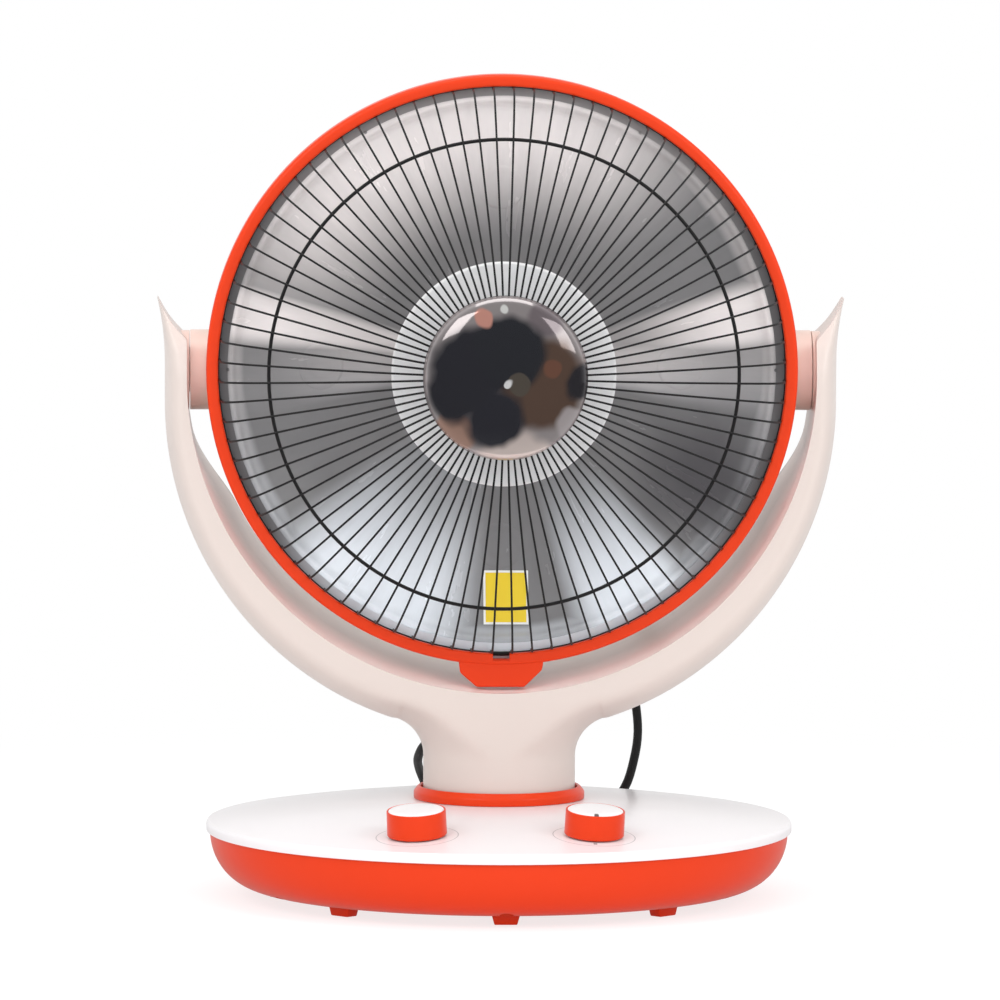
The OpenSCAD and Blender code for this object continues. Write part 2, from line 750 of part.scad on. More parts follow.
// Upper arms: straight up past the tilt axis, then leaning outwards in two steps
module yoke_uprights(inset) {
    bend_a = pivot_z + 5;
    bend_b = pivot_z + 23;
    for (s = [0, 1]) mirror([s, 0, 0]) {
        arm_length(inset, out_z, 0, 0, bend_a - out_z + 1);
        arm_length(inset, bend_a, 3, 0, bend_b - bend_a + 4);
        arm_length(inset, bend_b, 8.5, (bend_b - bend_a) * tan(3), 40);
    }
}

// Depth of the yoke seen from the side
module yoke_side(inset) {
    half = [[neck_half_d, neck_foot_z - 20], [neck_half_d, flare_z + 34], [arm_half_d + 3, pivot_z - 110],
        [arm_half_d, pivot_z - 40], [arm_half_d, pivot_z], [arm_half_d - 4, pivot_z + 14],
        [arm_half_d - 12, pivot_z + 28], [arm_half_d - 20, pivot_z + tip_rise + 1]];
    rotate([90, 0, 90]) translate([0, 0, -yoke_out_r - 20]) linear_extrude(2 * yoke_out_r + 40)
        polygon(concat([for (p = half) [p[0] - inset, p[1]]],
            [for (i = [len(half) - 1:-1:0]) [inset - half[i][0], half[i][1]]]));
}

// Sloping cut across the tips and the round opening for the head
module yoke_opening(inset) {
    tip_z = pivot_z + tip_rise + 4;
    rotate([90, 0, 0]) translate([0, 0, -neck_half_d - 5]) linear_extrude(2 * neck_half_d + 10) {
        polygon(concat(arc(0, in_z, yoke_in_r + inset, -180, 0, 48), [
            [yoke_in_r + inset, pivot_z + 19 - inset], [yoke_out_r + 4.5, tip_z - inset],
            [yoke_out_r + 20, tip_z + 20], [-yoke_out_r - 20, tip_z + 20],
            [-yoke_out_r - 4.5, tip_z - inset],
            [-yoke_in_r - inset, pivot_z + 19 - inset]]));
    }
}

// Neck with its hollow flare into the arms
module neck_solid(inset, low_z) {
    rotate_extrude() polygon(concat(
        [[0, low_z], [neck_r - inset, low_z]],
        [for (i = [0:8]) let (a = flare_tilt * i / 8)
            [flare_x - (neck_flare + inset) * cos(a), flare_z + 0.6 + (neck_flare + inset) * sin(a)]],
        [[0, flare_z + 1.2 + neck_flare * sin(flare_tilt) + inset]]));
}

// Whole outer body of the yoke, or its inside when inset is the wall
module yoke_body(inset) {
    low_z = neck_foot_z + (inset > 0 ? neck_floor_t : 0);
    difference() {
        intersection() {
            union() {
                yoke_wheel(inset);
                yoke_saddle(inset);
                yoke_uprights(inset);
                neck_solid(inset, low_z);
            }
            yoke_side(inset);
        }
        yoke_opening(inset);
    }
}

// Places of the bosses that join the shells, at mid thickness of the arms and over the neck
module at_yoke_bosses() {
    for (a = yoke_screw_angles) let (r = (yoke_out_r + yoke_in_r) / 2 - 1)
        translate([r * cos(a), 0, (out_z + in_z) / 2 + r * sin(a)]) children();
    for (s = [-1, 1]) translate([s * 34, 0, flare_z + 30]) children();
}

// Both shells in one, before the parting
module yoke_shells() {
    difference() {
        union() {
            difference() {
                yoke_body(0);
                yoke_body(yoke_wall);
            }
            intersection() {
                yoke_body(yoke_wall / 2);
                union() {
                    at_yoke_bosses() rotate([90, 0, 0])
                        cylinder(d = yoke_boss_d, h = 3 * neck_half_d, center = true);
                    for (s = [-1, 1]) translate([s * (pad_face_x + pad_depth / 2), 0, pivot_z])
                        rotate([0, 90, 0]) cylinder(d = boss_d - 4, h = pad_depth, center = true);
                }
            }
            for (s = [-1, 1]) translate([s * (pad_face_x + 1.5), 0, pivot_z]) rotate([0, 90, 0])
                cylinder(d = boss_d - 4, h = 3, center = true);
        }
        for (s = [-1, 1]) translate([s * pad_face_x, 0, pivot_z]) rotate([0, 90, 0])
            cylinder(d = bush_out_d + 2 * seat_gap, h = 4 * pad_depth - 8, center = true);
        translate([0, 0, neck_foot_z - 1]) cylinder(d = spigot_d + 2 * seat_gap, h = 10);
        ring_of(4, 45) translate([spigot_screw_r, 0, neck_foot_z - 1]) cylinder(d = 4.2, h = 10);
        translate([0, neck_half_d - 8, neck_gland_z]) rotate([-90, 0, 0])
            cylinder(d = gland_bore_d + 2 * seat_gap, h = 20);
        at_yoke_bosses() rotate([-90, 0, 0]) cylinder(d = yoke_screw_d + 0.2, h = 2 * neck_half_d);
        at_yoke_bosses() rotate([90, 0, 0]) cylinder(d = yoke_screw_d + 0.2, h = 12);
        at_yoke_bosses() translate([0, arm_half_d - 14, 0]) rotate([-90, 0, 0])
            cylinder(d = 7, h = 2 * neck_half_d);
    }
}

// Half space in front of the parting plane (side -1) or behind it (side 1)
module parting(side) {
    span = 2 * yoke_out_r;
    translate([-span, side > 0 ? 0 : -span, 0]) cube([2 * span, span, 2 * span]);
}

module yoke_front() {
    color(c_cream) intersection() {
        yoke_shells();
        parting(-1);
    }
}

module yoke_rear() {
    color(c_cream) intersection() {
        yoke_shells();
        parting(1);
    }
}

module yoke_screws() {
    color(c_steel) at_yoke_bosses() translate([0, arm_half_d - 14, 0]) rotate([90, 0, 0])
        mirror([0, 0, 0]) translate([0, 0, -2.2]) pan_screw(yoke_screw_d, 6.6, 2.2, arm_half_d - 4);
}

module pivot_bushes() {
    color(c_ceramic) for (s = [-1, 1])
        translate([s * (pad_face_x - bush_face_t), 0, pivot_z]) rotate([0, s * 90, 0]) difference() {
            union() {
                cylinder(d = bush_flange_d, h = bush_face_t);
                cylinder(d = bush_out_d, h = bush_end_x - pad_face_x + bush_face_t);
            }
            translate([0, 0, -1]) cylinder(r = tilt_pin_d / 2 + run_gap, h = 20);
        }
}

module neck_gland() {
    color(c_black) translate([0, neck_half_d - yoke_wall, neck_gland_z]) rotate([-90, 0, 0]) difference() {
        union() {
            translate([0, 0, -2]) cylinder(d = gland_bore_d, h = yoke_wall + 3);
            translate([0, 0, -2.4]) cylinder(d = gland_bore_d + 3, h = 2.3);
            translate([0, 0, yoke_wall + 0.1]) cylinder(d = gland_bore_d + 3, h = 1.5);
            translate([0, 0, yoke_wall + 1]) cylinder(d1 = gland_bore_d, d2 = lead_d + 2.4, h = 8);
        }
        translate([0, 0, -5]) cylinder(d = lead_d + 2 * lead_gap, h = 30);
    }
}

module front_ring() {
    mid = face_in_r + ring_face_w / 2;
    color(c_orange) in_head() difference() {
        union() {
            rotate_extrude() polygon(concat(
                [[face_in_r, ring_front - face_t], [face_in_r, ring_front - 1.2]],
                arc(face_in_r + 1.2, ring_front - 1.2, 1.2, 180, 90, 4),
                arc(ring_r - 2.6, ring_front - 2.6, 2.6, 90, 0, 6),
                [[ring_r, ring_back_z], [skirt_in_r, ring_back_z], [skirt_in_r, ring_front - face_t]]));
            ring_of(head_screw_count, head_screw_start) translate([lug_r, 0, ring_back_z + 0.1])
                cylinder(d = lug_d, h = baffle_z - ring_back_z - 0.1);
        }
        ring_of(head_screw_count, head_screw_start) translate([lug_r, 0, ring_back_z - 1])
            cylinder(d = head_screw_d + 0.2, h = 9);
        translate([-7, -mid - 1.3, ring_front - 1.6]) cube([14, 2.6, 3]);
    }
}

// Tab below the front ring that releases the grille
module latch() {
    half = latch_w / 2;
    drop = ring_r + latch_h;
    color(c_orange) in_head() difference() {
        translate([0, 0, ring_back_z + 4]) linear_extrude(ring_d - 5) polygon([
            [-half, -ring_r + 3], [-half + 1.5, -ring_r - 3], [-half + 11, -drop], [half - 11, -drop],
            [half - 1.5, -ring_r - 3], [half, -ring_r + 3]]);
        translate([0, 0, -10]) cylinder(r = ring_r + seat_gap, h = 80);
    }
}

// Centre line of one wire in its own plane: radius against distance along the head's axis
function wire_points() = [
    [wire_r, rim_wire_z - 0.4], [wire_r, ring_front + 11], [wire_r - 7, ring_front + 22],
    [stay_r, stay_z], [(stay_r + hub_r) / 2, (stay_z + hub_z) / 2 + 3.2], [hub_r, hub_z]];

// One radial wire: straight lengths of square section set on edge
module wire() {
    pts = wire_points();
    n = len(pts);
    h = wire_d / 2;
    dirs = [for (i = [0:n - 1])
        let (a = pts[max(i - 1, 0)], b = pts[min(i + 1, n - 1)], d = b - a) d / norm(d)];
    quads = [for (i = [0:n - 1]) let (p = pts[i], d = dirs[i], u = [-d[1], d[0]])
        [[p[0] + h * u[0], 0, p[1] + h * u[1]], [p[0], h, p[1]],
            [p[0] - h * u[0], 0, p[1] - h * u[1]], [p[0], -h, p[1]]]];
    for (i = [0:n - 2]) hull() polyhedron(points = concat(quads[i], quads[i + 1]), faces = [
        [0, 1, 2, 3], [7, 6, 5, 4], [4, 5, 1, 0], [5, 6, 2, 1], [6, 7, 3, 2], [7, 4, 0, 3]]);
}

// A ring of square wire
module wire_ring(r, z, d) {
    rotate_extrude($fn = wire_count / 2) translate([r, z]) square(0.7 * d, center = true);
}

module grille() {
    color(c_dark) in_head() union() {
        for (i = [0:wire_count - 1]) rotate([0, 0, (i + 0.5) * 360 / wire_count]) wire();
        wire_ring(rim_wire_r, rim_wire_z, rim_wire_d);
        wire_ring(stay_r, stay_z - stay_wire_d / 2, stay_wire_d);
        wire_ring(hub_r, hub_z, hub_wire_d);
    }
}

// Outline of the cap's dome at a given inset
function cap_points(inset) = [for (i = [0:12]) let (a = 90 * i / 12)
    [(cap_r + 2.4 - inset) * cos(a), cap_z + (cap_h - inset) * sin(a)]];

module grille_cap() {
    color(c_chrome) in_head() difference() {
        union() {
            rotate_extrude() difference() {
                polygon(concat([[0, cap_z]], cap_points(0)));
                polygon(concat([[0, cap_z - 1], [cap_r + 2.4 - cap_wall, cap_z - 1]], cap_points(cap_wall)));
            }
            translate([0, 0, cap_z + 0.02]) cylinder(r = 5, h = cap_h - cap_wall + 0.3);
        }
        translate([0, 0, cap_z - 1]) cylinder(d = 3.2, h = cap_h - 2);
    }
}

module cap_clamp() {
    color(c_steel) in_head() difference() {
        union() {
            translate([0, 0, clamp_z]) cylinder(r = cap_r + 2, h = clamp_t);
            ring_of(3, 90) translate([spacer_r, 0, shade_z + shade_t])
                cylinder(d = spacer_d, h = clamp_z - shade_z - shade_t + 0.5);
            translate([0, 0, clamp_z + clamp_t - 0.2]) cylinder(r = 5, h = hub_wire_d + 0.2);
        }
        translate([0, 0, clamp_z - 1]) cylinder(d = 4.2, h = 20);
        ring_of(3, 90) translate([spacer_r, 0, shade_z - 1]) cylinder(d = 2.4, h = 12);
    }
}

module cap_screw() {
    color(c_steel) in_head() translate([0, 0, clamp_z - 2.2])
        pan_screw(3, 6, 2.2, clamp_t + hub_wire_d + 7);
}

module shade() {
    color(c_chrome) in_head() difference() {
        rotate_extrude() polygon([
            [6, shade_z], [shade_r - 0.8, shade_z], [shade_r - 0.8, shade_z - 3.2], [shade_r, shade_z - 3.2],
            [shade_r, shade_z + shade_t], [6, shade_z + shade_t]]);
        ring_of(3, 90) translate([spacer_r, 0, shade_z - 1]) cylinder(d = 2.6, h = 4);
    }
}

module baffle_ring() {
    color(c_dark) in_head() difference() {
        translate([0, 0, baffle_z]) tube(skirt_in_r - seat_gap, dish_r, baffle_t);
        ring_of(6, 0) translate([rivet_r, 0, baffle_z - 1]) cylinder(d = 2.2, h = 4);
    }
}

// Depth of the dish's front face at a radius
lip_z = baffle_z - dish_wall_drop;
function dish_z(r) = dish_back_z + (lip_z - dish_back_z) * pow(max(r, 0) / (dish_r - 4), 1.35);

// The dish's sheet, raised by a lift and of a given thickness
module dish_sheet(lift, t, r_in, r_out) {
    n = 20;
    front = [for (i = [0:n]) let (r = r_in + (r_out - r_in) * i / n) [r, dish_z(r) + lift]];
    back = [for (i = [n:-1:0]) [front[i][0], front[i][1] - t]];
    polygon(concat(front, back));
}

module reflector() {
    color(c_alu) in_head() difference() {
        union() {
            rotate_extrude() union() {
                dish_sheet(0, dish_t, dish_hole_r, dish_r - 4);
                polygon([[dish_r - 4.2, lip_z - dish_t], [dish_r - 3.8, lip_z - dish_t],
                    [dish_r + dish_t, baffle_z - dish_t], [flange_r, baffle_z - dish_t],
                    [flange_r, baffle_z], [dish_r, baffle_z], [dish_r - 4.2, lip_z]]);
            }
            ring_of(4, 0) translate([dimple_ring_r, 0, dish_z(dimple_ring_r) - 0.5])
                rotate([0, -dish_slope(dimple_ring_r), 0]) rotate_extrude()
                    polygon([[0, -0.2], [dimple_r, -0.2], [dimple_r - 2, 1.2], [dimple_r - 4, 0.7],
                        [0, 1.9]]);
        }
        ring_of(6, 0) translate([rivet_r, 0, baffle_z - 2]) cylinder(d = 2.2, h = 4);
    }
}

// Slope of the dish at a radius, in degrees
function dish_slope(r) = atan((dish_z(r + 1) - dish_z(r - 1)) / 2);

module reflector_rivets() {
    color(c_steel) in_head() ring_of(6, 0) translate([rivet_r, 0, baffle_z - dish_t - 1]) {
        cylinder(d = 2, h = 1 + dish_t + baffle_t);
        cylinder(d = 2.6, h = 1);
    }
}

// Outline of the rear shell: a short straight band, then a round back
module rear_outline(inset, top) {
    band = 10;
    r_out = ring_r - 0.6;
    polygon(concat([[0, rear_back_z + inset]],
        ellipse_arc(rear_cover_r + 12, ring_back_z - band, r_out - rear_cover_r - 12 - inset,
            rear_depth + ring_back_z - band - inset, -90, 0, 18),
        [[r_out - inset, top], [0, top]]));
}

module rear_shell() {
    vent_count = 30;
    color(c_cream) in_head() difference() {
        union() {
            difference() {
                rotate_extrude() rear_outline(0, ring_back_z);
                rotate_extrude() rear_outline(head_wall, ring_back_z + 1);
            }
            intersection() {
                ring_of(head_screw_count, head_screw_start) translate([lug_r, 0, ring_back_z - lug_t])
                    cylinder(d = lug_d, h = lug_t - 0.05);
                cylinder(r = ring_r - 1, h = 60);
            }
            difference() {
                for (s = [-1, 1]) translate([s * boss_face_x, -head_rise, 0]) rotate([0, -s * 90, 0])
                    cylinder(d = boss_d, h = 30);
                rotate_extrude() rear_outline(head_wall / 2, ring_back_z);
                translate([0, 0, ring_back_z]) cylinder(r = ring_r + seat_gap, h = 20);
            }
            for (s = [-1, 1]) translate([s * boss_face_x, -head_rise, 0]) rotate([0, -s * 90, 0])
                cylinder(d = tilt_pin_d + 8, h = pin_boss_l);
        }
        for (s = [-1, 1]) translate([s * (boss_face_x + 1), -head_rise, 0]) rotate([0, -s * 90, 0])
            cylinder(r = tilt_pin_d / 2 + seat_gap / 2, h = 40);
        ring_of(head_screw_count, head_screw_start) translate([lug_r, 0, ring_back_z - lug_t - 1])
            cylinder(d = head_screw_d + 0.4, h = 9);
        ring_of(head_screw_count, head_screw_start) translate([lug_r, 0, rear_back_z])
            cylinder(d = head_screw_head_d + 1.2, h = rear_depth + ring_back_z - lug_t - 0.01);
        ring_of(vent_count, 6) translate([rear_cover_r + 26, -2, rear_back_z - 1]) cube([34, 4, 28]);
        translate([0, 0, rear_back_z - 1]) cylinder(r = 20, h = 8);
        ring_of(3, 30) translate([cover_screw_r, 0, rear_back_z - 1])
            cylinder(d = cover_screw_d + 0.1, h = 8);
    }
}

module rear_cover() {
    color(c_cream) in_head() difference() {
        union() {
            rotate_extrude() difference() {
                polygon(concat([[0, rear_back_z - 0.02], [rear_cover_r, rear_back_z - 0.02]],
                    arc(rear_cover_r - 6, cover_back_z + 6, 6, 0, -90, 6), [[0, cover_back_z]]));
                polygon(concat([[0, rear_back_z + 1], [rear_cover_r - 2.2, rear_back_z + 1]],
                    arc(rear_cover_r - 6, cover_back_z + 6, 3.8, 0, -90, 6), [[0, cover_back_z + 2.2]]));
            }
            ring_of(3, 30) translate([cover_screw_r, 0, cover_back_z + 1])
                cylinder(d = cover_screw_d + 4, h = rear_cover_d - 1.02);
        }
        translate([gland_x, -gland_drop, cover_back_z - 1]) cylinder(d = gland_bore_d + 2 * seat_gap, h = 6);
        ring_of(3, 30) translate([cover_screw_r, 0, cover_back_z - 1])
            cylinder(d = cover_screw_d + 2 * seat_gap, h = rear_cover_d + 4);
    }
}

module cover_screws() {
    color(c_steel) in_head() ring_of(3, 30) translate([cover_screw_r, 0, cover_back_z - 1.8])
        pan_screw(cover_screw_d, 5.6, 1.8, rear_cover_d + 4);
}

module element_base() {
    color(c_ceramic) in_head() difference() {
        union() {
            translate([0, 0, dish_back_z - dish_t - 8]) cylinder(r = dish_hole_r + 6, h = 8 - 0.1);
            translate([0, 0, dish_back_z - dish_t - 8]) cylinder(r = dish_hole_r - 0.4, h = 14);
            translate([0, 0, rear_back_z + head_wall])
                cylinder(r = 10, h = dish_back_z - dish_t - rear_back_z - head_wall - 7);
        }
        translate([0, 0, tube_low_z]) cylinder(d = tube_d + 2 * seat_gap, h = 30);
        for (s = [-1, 1]) translate([s * 4, 0, rear_back_z - 1]) cylinder(d = 3, h = 40);
    }
}

module quartz_tube() {
    color(c_quartz) in_head() translate([0, 0, tube_low_z]) rotate_extrude() difference() {
        union() {
            square([tube_d / 2, tube_top_z - tube_low_z - tube_d / 2]);
            intersection() {
                translate([0, tube_top_z - tube_low_z - tube_d / 2]) circle(r = tube_d / 2);
                square([tube_d, 200]);
            }
        }
        translate([-1, -1]) square([1 + tube_d / 2 - tube_wall, tube_top_z - tube_low_z - tube_d / 2 + 1]);
        intersection() {
            translate([0, tube_top_z - tube_low_z - tube_d / 2]) circle(r = tube_d / 2 - tube_wall);
            translate([-30, 0]) square([60, 200]);
        }
        translate([-50, -1]) square([50, 200]);
    }
}

module carbon_filament() {
    l = tube_top_z - tube_low_z - tube_d - 4;
    color(c_black) in_head() translate([0, 0, tube_low_z]) {
        for (s = [-1, 1]) translate([s * 4 - 0.4, -3, 0]) cube([0.8, 6, l]);
        translate([-4.4, -3, l]) cube([8.8, 6, 0.8]);
    }
}

module element_cap() {
    color(c_ceramic) in_head() difference() {
        translate([0, 0, tube_top_z - 9]) cylinder(r = tube_d / 2 + 3.5, h = shade_z - tube_top_z + 9 - 0.3);
        translate([0, 0, tube_top_z - tube_d / 2 - seat_gap]) sphere(r = tube_d / 2 + seat_gap);
        translate([0, 0, tube_top_z - 30]) cylinder(r = tube_d / 2 + seat_gap, h = 30 - tube_d / 2);
    }
}

module thermal_cutout() {
    color(c_black) in_head() translate([40, 30, dish_z(50) - dish_t - 9]) {
        cylinder(r = 8, h = 6.5);
        for (s = [-1, 1]) translate([s * 4 - 2.4, -0.4, -7]) cube([4.8, 0.8, 7.1]);
    }
}

module pivot_pins() {
    color(c_steel) for (s = [-1, 1]) translate([s * pin_root_x, 0, pivot_z]) rotate([0, s * 90, 0]) {
        cylinder(d = tilt_pin_d, h = pin_head_x - pin_root_x + 1);
        translate([0, 0, pin_head_x - pin_root_x]) cylinder(d = pin_head_d, h = pin_head_t);
    }
}

module head_screws() {
    l = baffle_z - ring_back_z + lug_t - 0.4;
    color(c_steel) in_head() ring_of(head_screw_count, head_screw_start)
        translate([lug_r, 0, ring_back_z - lug_t - 2.2]) pan_screw(head_screw_d, head_screw_head_d, 2.2, l);
}

module head_gland() {
    color(c_black) translate([gland_x, -cover_back_z, head_z - gland_drop]) rotate([-90, 0, 0])
    difference() {
        union() {
            translate([0, 0, -4.4]) cylinder(d = gland_bore_d, h = 6);
            translate([0, 0, -4.6]) cylinder(d = gland_bore_d + 3, h = 2.3);
            translate([0, 0, 0.1]) cylinder(d = gland_bore_d + 3, h = 1.5);
            translate([0, 0, 1]) cylinder(d1 = gland_bore_d, d2 = lead_d + 2.4, h = 7);
        }
        translate([0, 0, -6]) cylinder(d = lead_d + 2 * lead_gap, h = 30);
    }
}

module blank_label() {
    label_y = dish_r - 23;
    color(c_yellow) in_head() intersection() {
        rotate_extrude() dish_sheet(0.35, 0.3, label_y - 18, label_y + 16);
        translate([-11, -label_y - 15.5, -40]) cube([26.5, 31, 90]);
    }
}

// A round tube swept along a list of points
module sweep(pts, d, sides) {
    n = len(pts);
    dirs = [for (i = [0:n - 1]) let (v = pts[min(i + 1, n - 1)] - pts[max(i - 1, 0)]) v / norm(v)];
    rings = [for (i = [0:n - 1])
        let (t = dirs[i], side = cross(t, [0, 0.02, 1]), u = side / norm(side), w = cross(t, u))
            for (k = [0:sides - 1]) let (a = 360 * k / sides) pts[i] + d / 2 * (cos(a) * u + sin(a) * w)];
    faces = concat(
        [for (i = [0:n - 2], k = [0:sides - 1]) let (a = sides * i + k, b = sides * i + (k + 1) % sides)
            [a, a + sides, b + sides, b]],
        [[for (k = [0:sides - 1]) k], [for (k = [sides - 1:-1:0]) sides * (n - 1) + k]]);
    polyhedron(points = rings, faces = faces);
}

// Smooth curve through the route's points
function spline_at(p, i, t) =
    let (n = len(p), a = p[max(i - 1, 0)], b = p[i], c = p[min(i + 1, n - 1)], d = p[min(i + 2, n - 1)])
    0.5 * (2 * b + (c - a) * t + (2 * a - 5 * b + 4 * c - d) * t * t + (3 * b - a - 3 * c + d) * pow(t, 3));

module head_lead() {
    steps = 2;
    curve = [for (i = [0:len(lead_route) - 2], k = [0:steps - 1]) spline_at(lead_route, i, k / steps)];
    color(c_black) sweep(concat(curve, [lead_route[len(lead_route) - 1]]), lead_d, 8);
}

base_shell();
base_top();
feet();
ballast_plate();
base_screws();
swivel_collar();
swivel_bush();
swing_motor();
motor_screws();
timer();
power_switch();
tip_over_switch();
terminal_block();
mains_gland();
timer_spindle();
timer_knob();
timer_knob_inset();
power_spindle();
power_knob();
power_knob_inset();
motor_shaft();
crank();
yoke_front();
yoke_rear();
spigot();
spigot_screws();
swing_arm();
spigot_nut();
pivot_bushes();
yoke_screws();
neck_gland();
front_ring();
latch();
grille();
grille_cap();
cap_clamp();
cap_screw();
shade();
baffle_ring();
reflector();
reflector_rivets();
rear_shell();
rear_cover();
element_base();
quartz_tube();
carbon_filament();
element_cap();
thermal_cutout();
pivot_pins();
head_screws();
cover_screws();
head_gland();
blank_label();
head_lead();
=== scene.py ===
"""Looks of a tabletop carbon heater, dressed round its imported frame."""

import logging
import math
from collections.abc import Callable, Sequence
from dataclasses import dataclass, field
from enum import Enum

import bpy
from mathutils import Matrix, Vector


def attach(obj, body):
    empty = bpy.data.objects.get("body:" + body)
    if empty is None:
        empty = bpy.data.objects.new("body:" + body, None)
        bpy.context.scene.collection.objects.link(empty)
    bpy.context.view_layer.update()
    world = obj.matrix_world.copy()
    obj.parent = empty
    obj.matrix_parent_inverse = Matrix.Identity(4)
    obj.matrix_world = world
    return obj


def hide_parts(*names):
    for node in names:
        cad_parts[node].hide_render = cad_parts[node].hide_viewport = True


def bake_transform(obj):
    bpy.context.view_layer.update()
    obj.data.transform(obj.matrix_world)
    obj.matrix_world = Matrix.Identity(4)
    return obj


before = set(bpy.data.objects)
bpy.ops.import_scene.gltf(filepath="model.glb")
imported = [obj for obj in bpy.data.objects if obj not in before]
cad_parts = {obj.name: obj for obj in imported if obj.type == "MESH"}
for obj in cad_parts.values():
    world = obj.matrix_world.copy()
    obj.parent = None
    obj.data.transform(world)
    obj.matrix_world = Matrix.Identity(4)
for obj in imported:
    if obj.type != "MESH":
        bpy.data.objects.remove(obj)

LOG = logging.getLogger("heater")
Piece = bpy.types.Object
Node = bpy.types.Node
Socket = bpy.types.NodeSocket
Point = tuple[float, float, float]
Color = tuple[float, float, float]
Pairs = list[tuple[float, float]]
Profile = Sequence[tuple[float, float]]

MM = 0.001  # Blender's metres in a millimetre
HEAD_Z = 313.0  # height of the head's axis, mm
TILT_Z = 311.0  # height of the pins that the head tilts on, mm
DOUBLES = 0.00001  # corners nearer than this are merged, metres
WHITE = (1.0, 1.0, 1.0)


def oval(cx: float, cy: float, rx: float, ry: float, start: float, end: float, n: int) -> Pairs:
    """Points on a stretch of an ellipse.

    Args:
        cx: centre, first coordinate, mm.
        cy: centre, second coordinate, mm.
        rx: half width, mm.
        ry: half height, mm.
        start: first angle, degrees.
        end: last angle, degrees.
        n: number of steps.

    Returns:
        The points from start to end.
    """
    angles = [math.radians(start + (end - start) * i / n) for i in range(n + 1)]
    return [(cx + rx * math.cos(a), cy + ry * math.sin(a)) for a in angles]


def arc(cx: float, cy: float, r: float, start: float, end: float, n: int) -> Pairs:
    """Points on a stretch of a circle, given as for an oval."""
    return oval(cx, cy, r, r, start, end, n)


def smooth_line(points: Sequence[Sequence[float]], steps: int) -> list[tuple[float, ...]]:
    """A smooth curve through points.

    Args:
        points: the points it passes.
        steps: points made for each stretch.

    Returns:
        The points on the curve.
    """
    n = len(points)
    out: list[tuple[float, ...]] = []
    for i in range(n - 1):
        a, b = points[max(i - 1, 0)], points[i]
        c, d = points[i + 1], points[min(i + 2, n - 1)]
        for k in range(steps):
            t = k / steps
            out.append(
                tuple(
                    0.5 * (2 * q + (r - p) * t + (2 * p - 5 * q + 4 * r - s) * t * t
                           + (3 * q - p - 3 * r + s) * t**3)
                    for p, q, r, s in zip(a, b, c, d)
                )
            )
    out.append(tuple(float(v) for v in points[-1]))
    return out


def between(x: float, table: Profile) -> float:
    """A value read from a table, on a straight line between its rows.

    Args:
        x: where to read.
        table: rows of place and value, in rising places.

    Returns:
        The value at x.
    """
    if x <= table[0][0]:
        return table[0][1]
    for (x0, y0), (x1, y1) in zip(table, table[1:]):
        if x <= x1:
            t = (x - x0) / (x1 - x0)
            return y0 + (y1 - y0) * t
    return table[-1][1]


def clamp(t: float) -> float:
    """The number, or 0 or 1 where it lies outside them."""
    return min(max(t, 0.0), 1.0)


def ease(t: float) -> float:
    """A rise from 0 to 1 that starts and ends softly."""
    t = clamp(t)
    return t * t * (3 - 2 * t)


class Axis(Enum):
    """The line that a turned piece is spun round."""

    BASE = "base"
    HEAD = "head"

    @property
    def centre(self) -> Vector:
        """A point on the axis, in metres."""
        return Vector((0, 0, 0)) if self is Axis.BASE else Vector((0, 0, HEAD_Z * MM))

    @property
    def direction(self) -> Vector:
        """Which way the axis points."""
        return Vector((0, 0, 1)) if self is Axis.BASE else Vector((0, -1, 0))

    def at(self, r: float, h: float) -> Vector:
        """The point at a radius and a height along the axis, both in mm."""
        return self.centre + Vector((r * MM, 0, 0)) + self.direction * h * MM


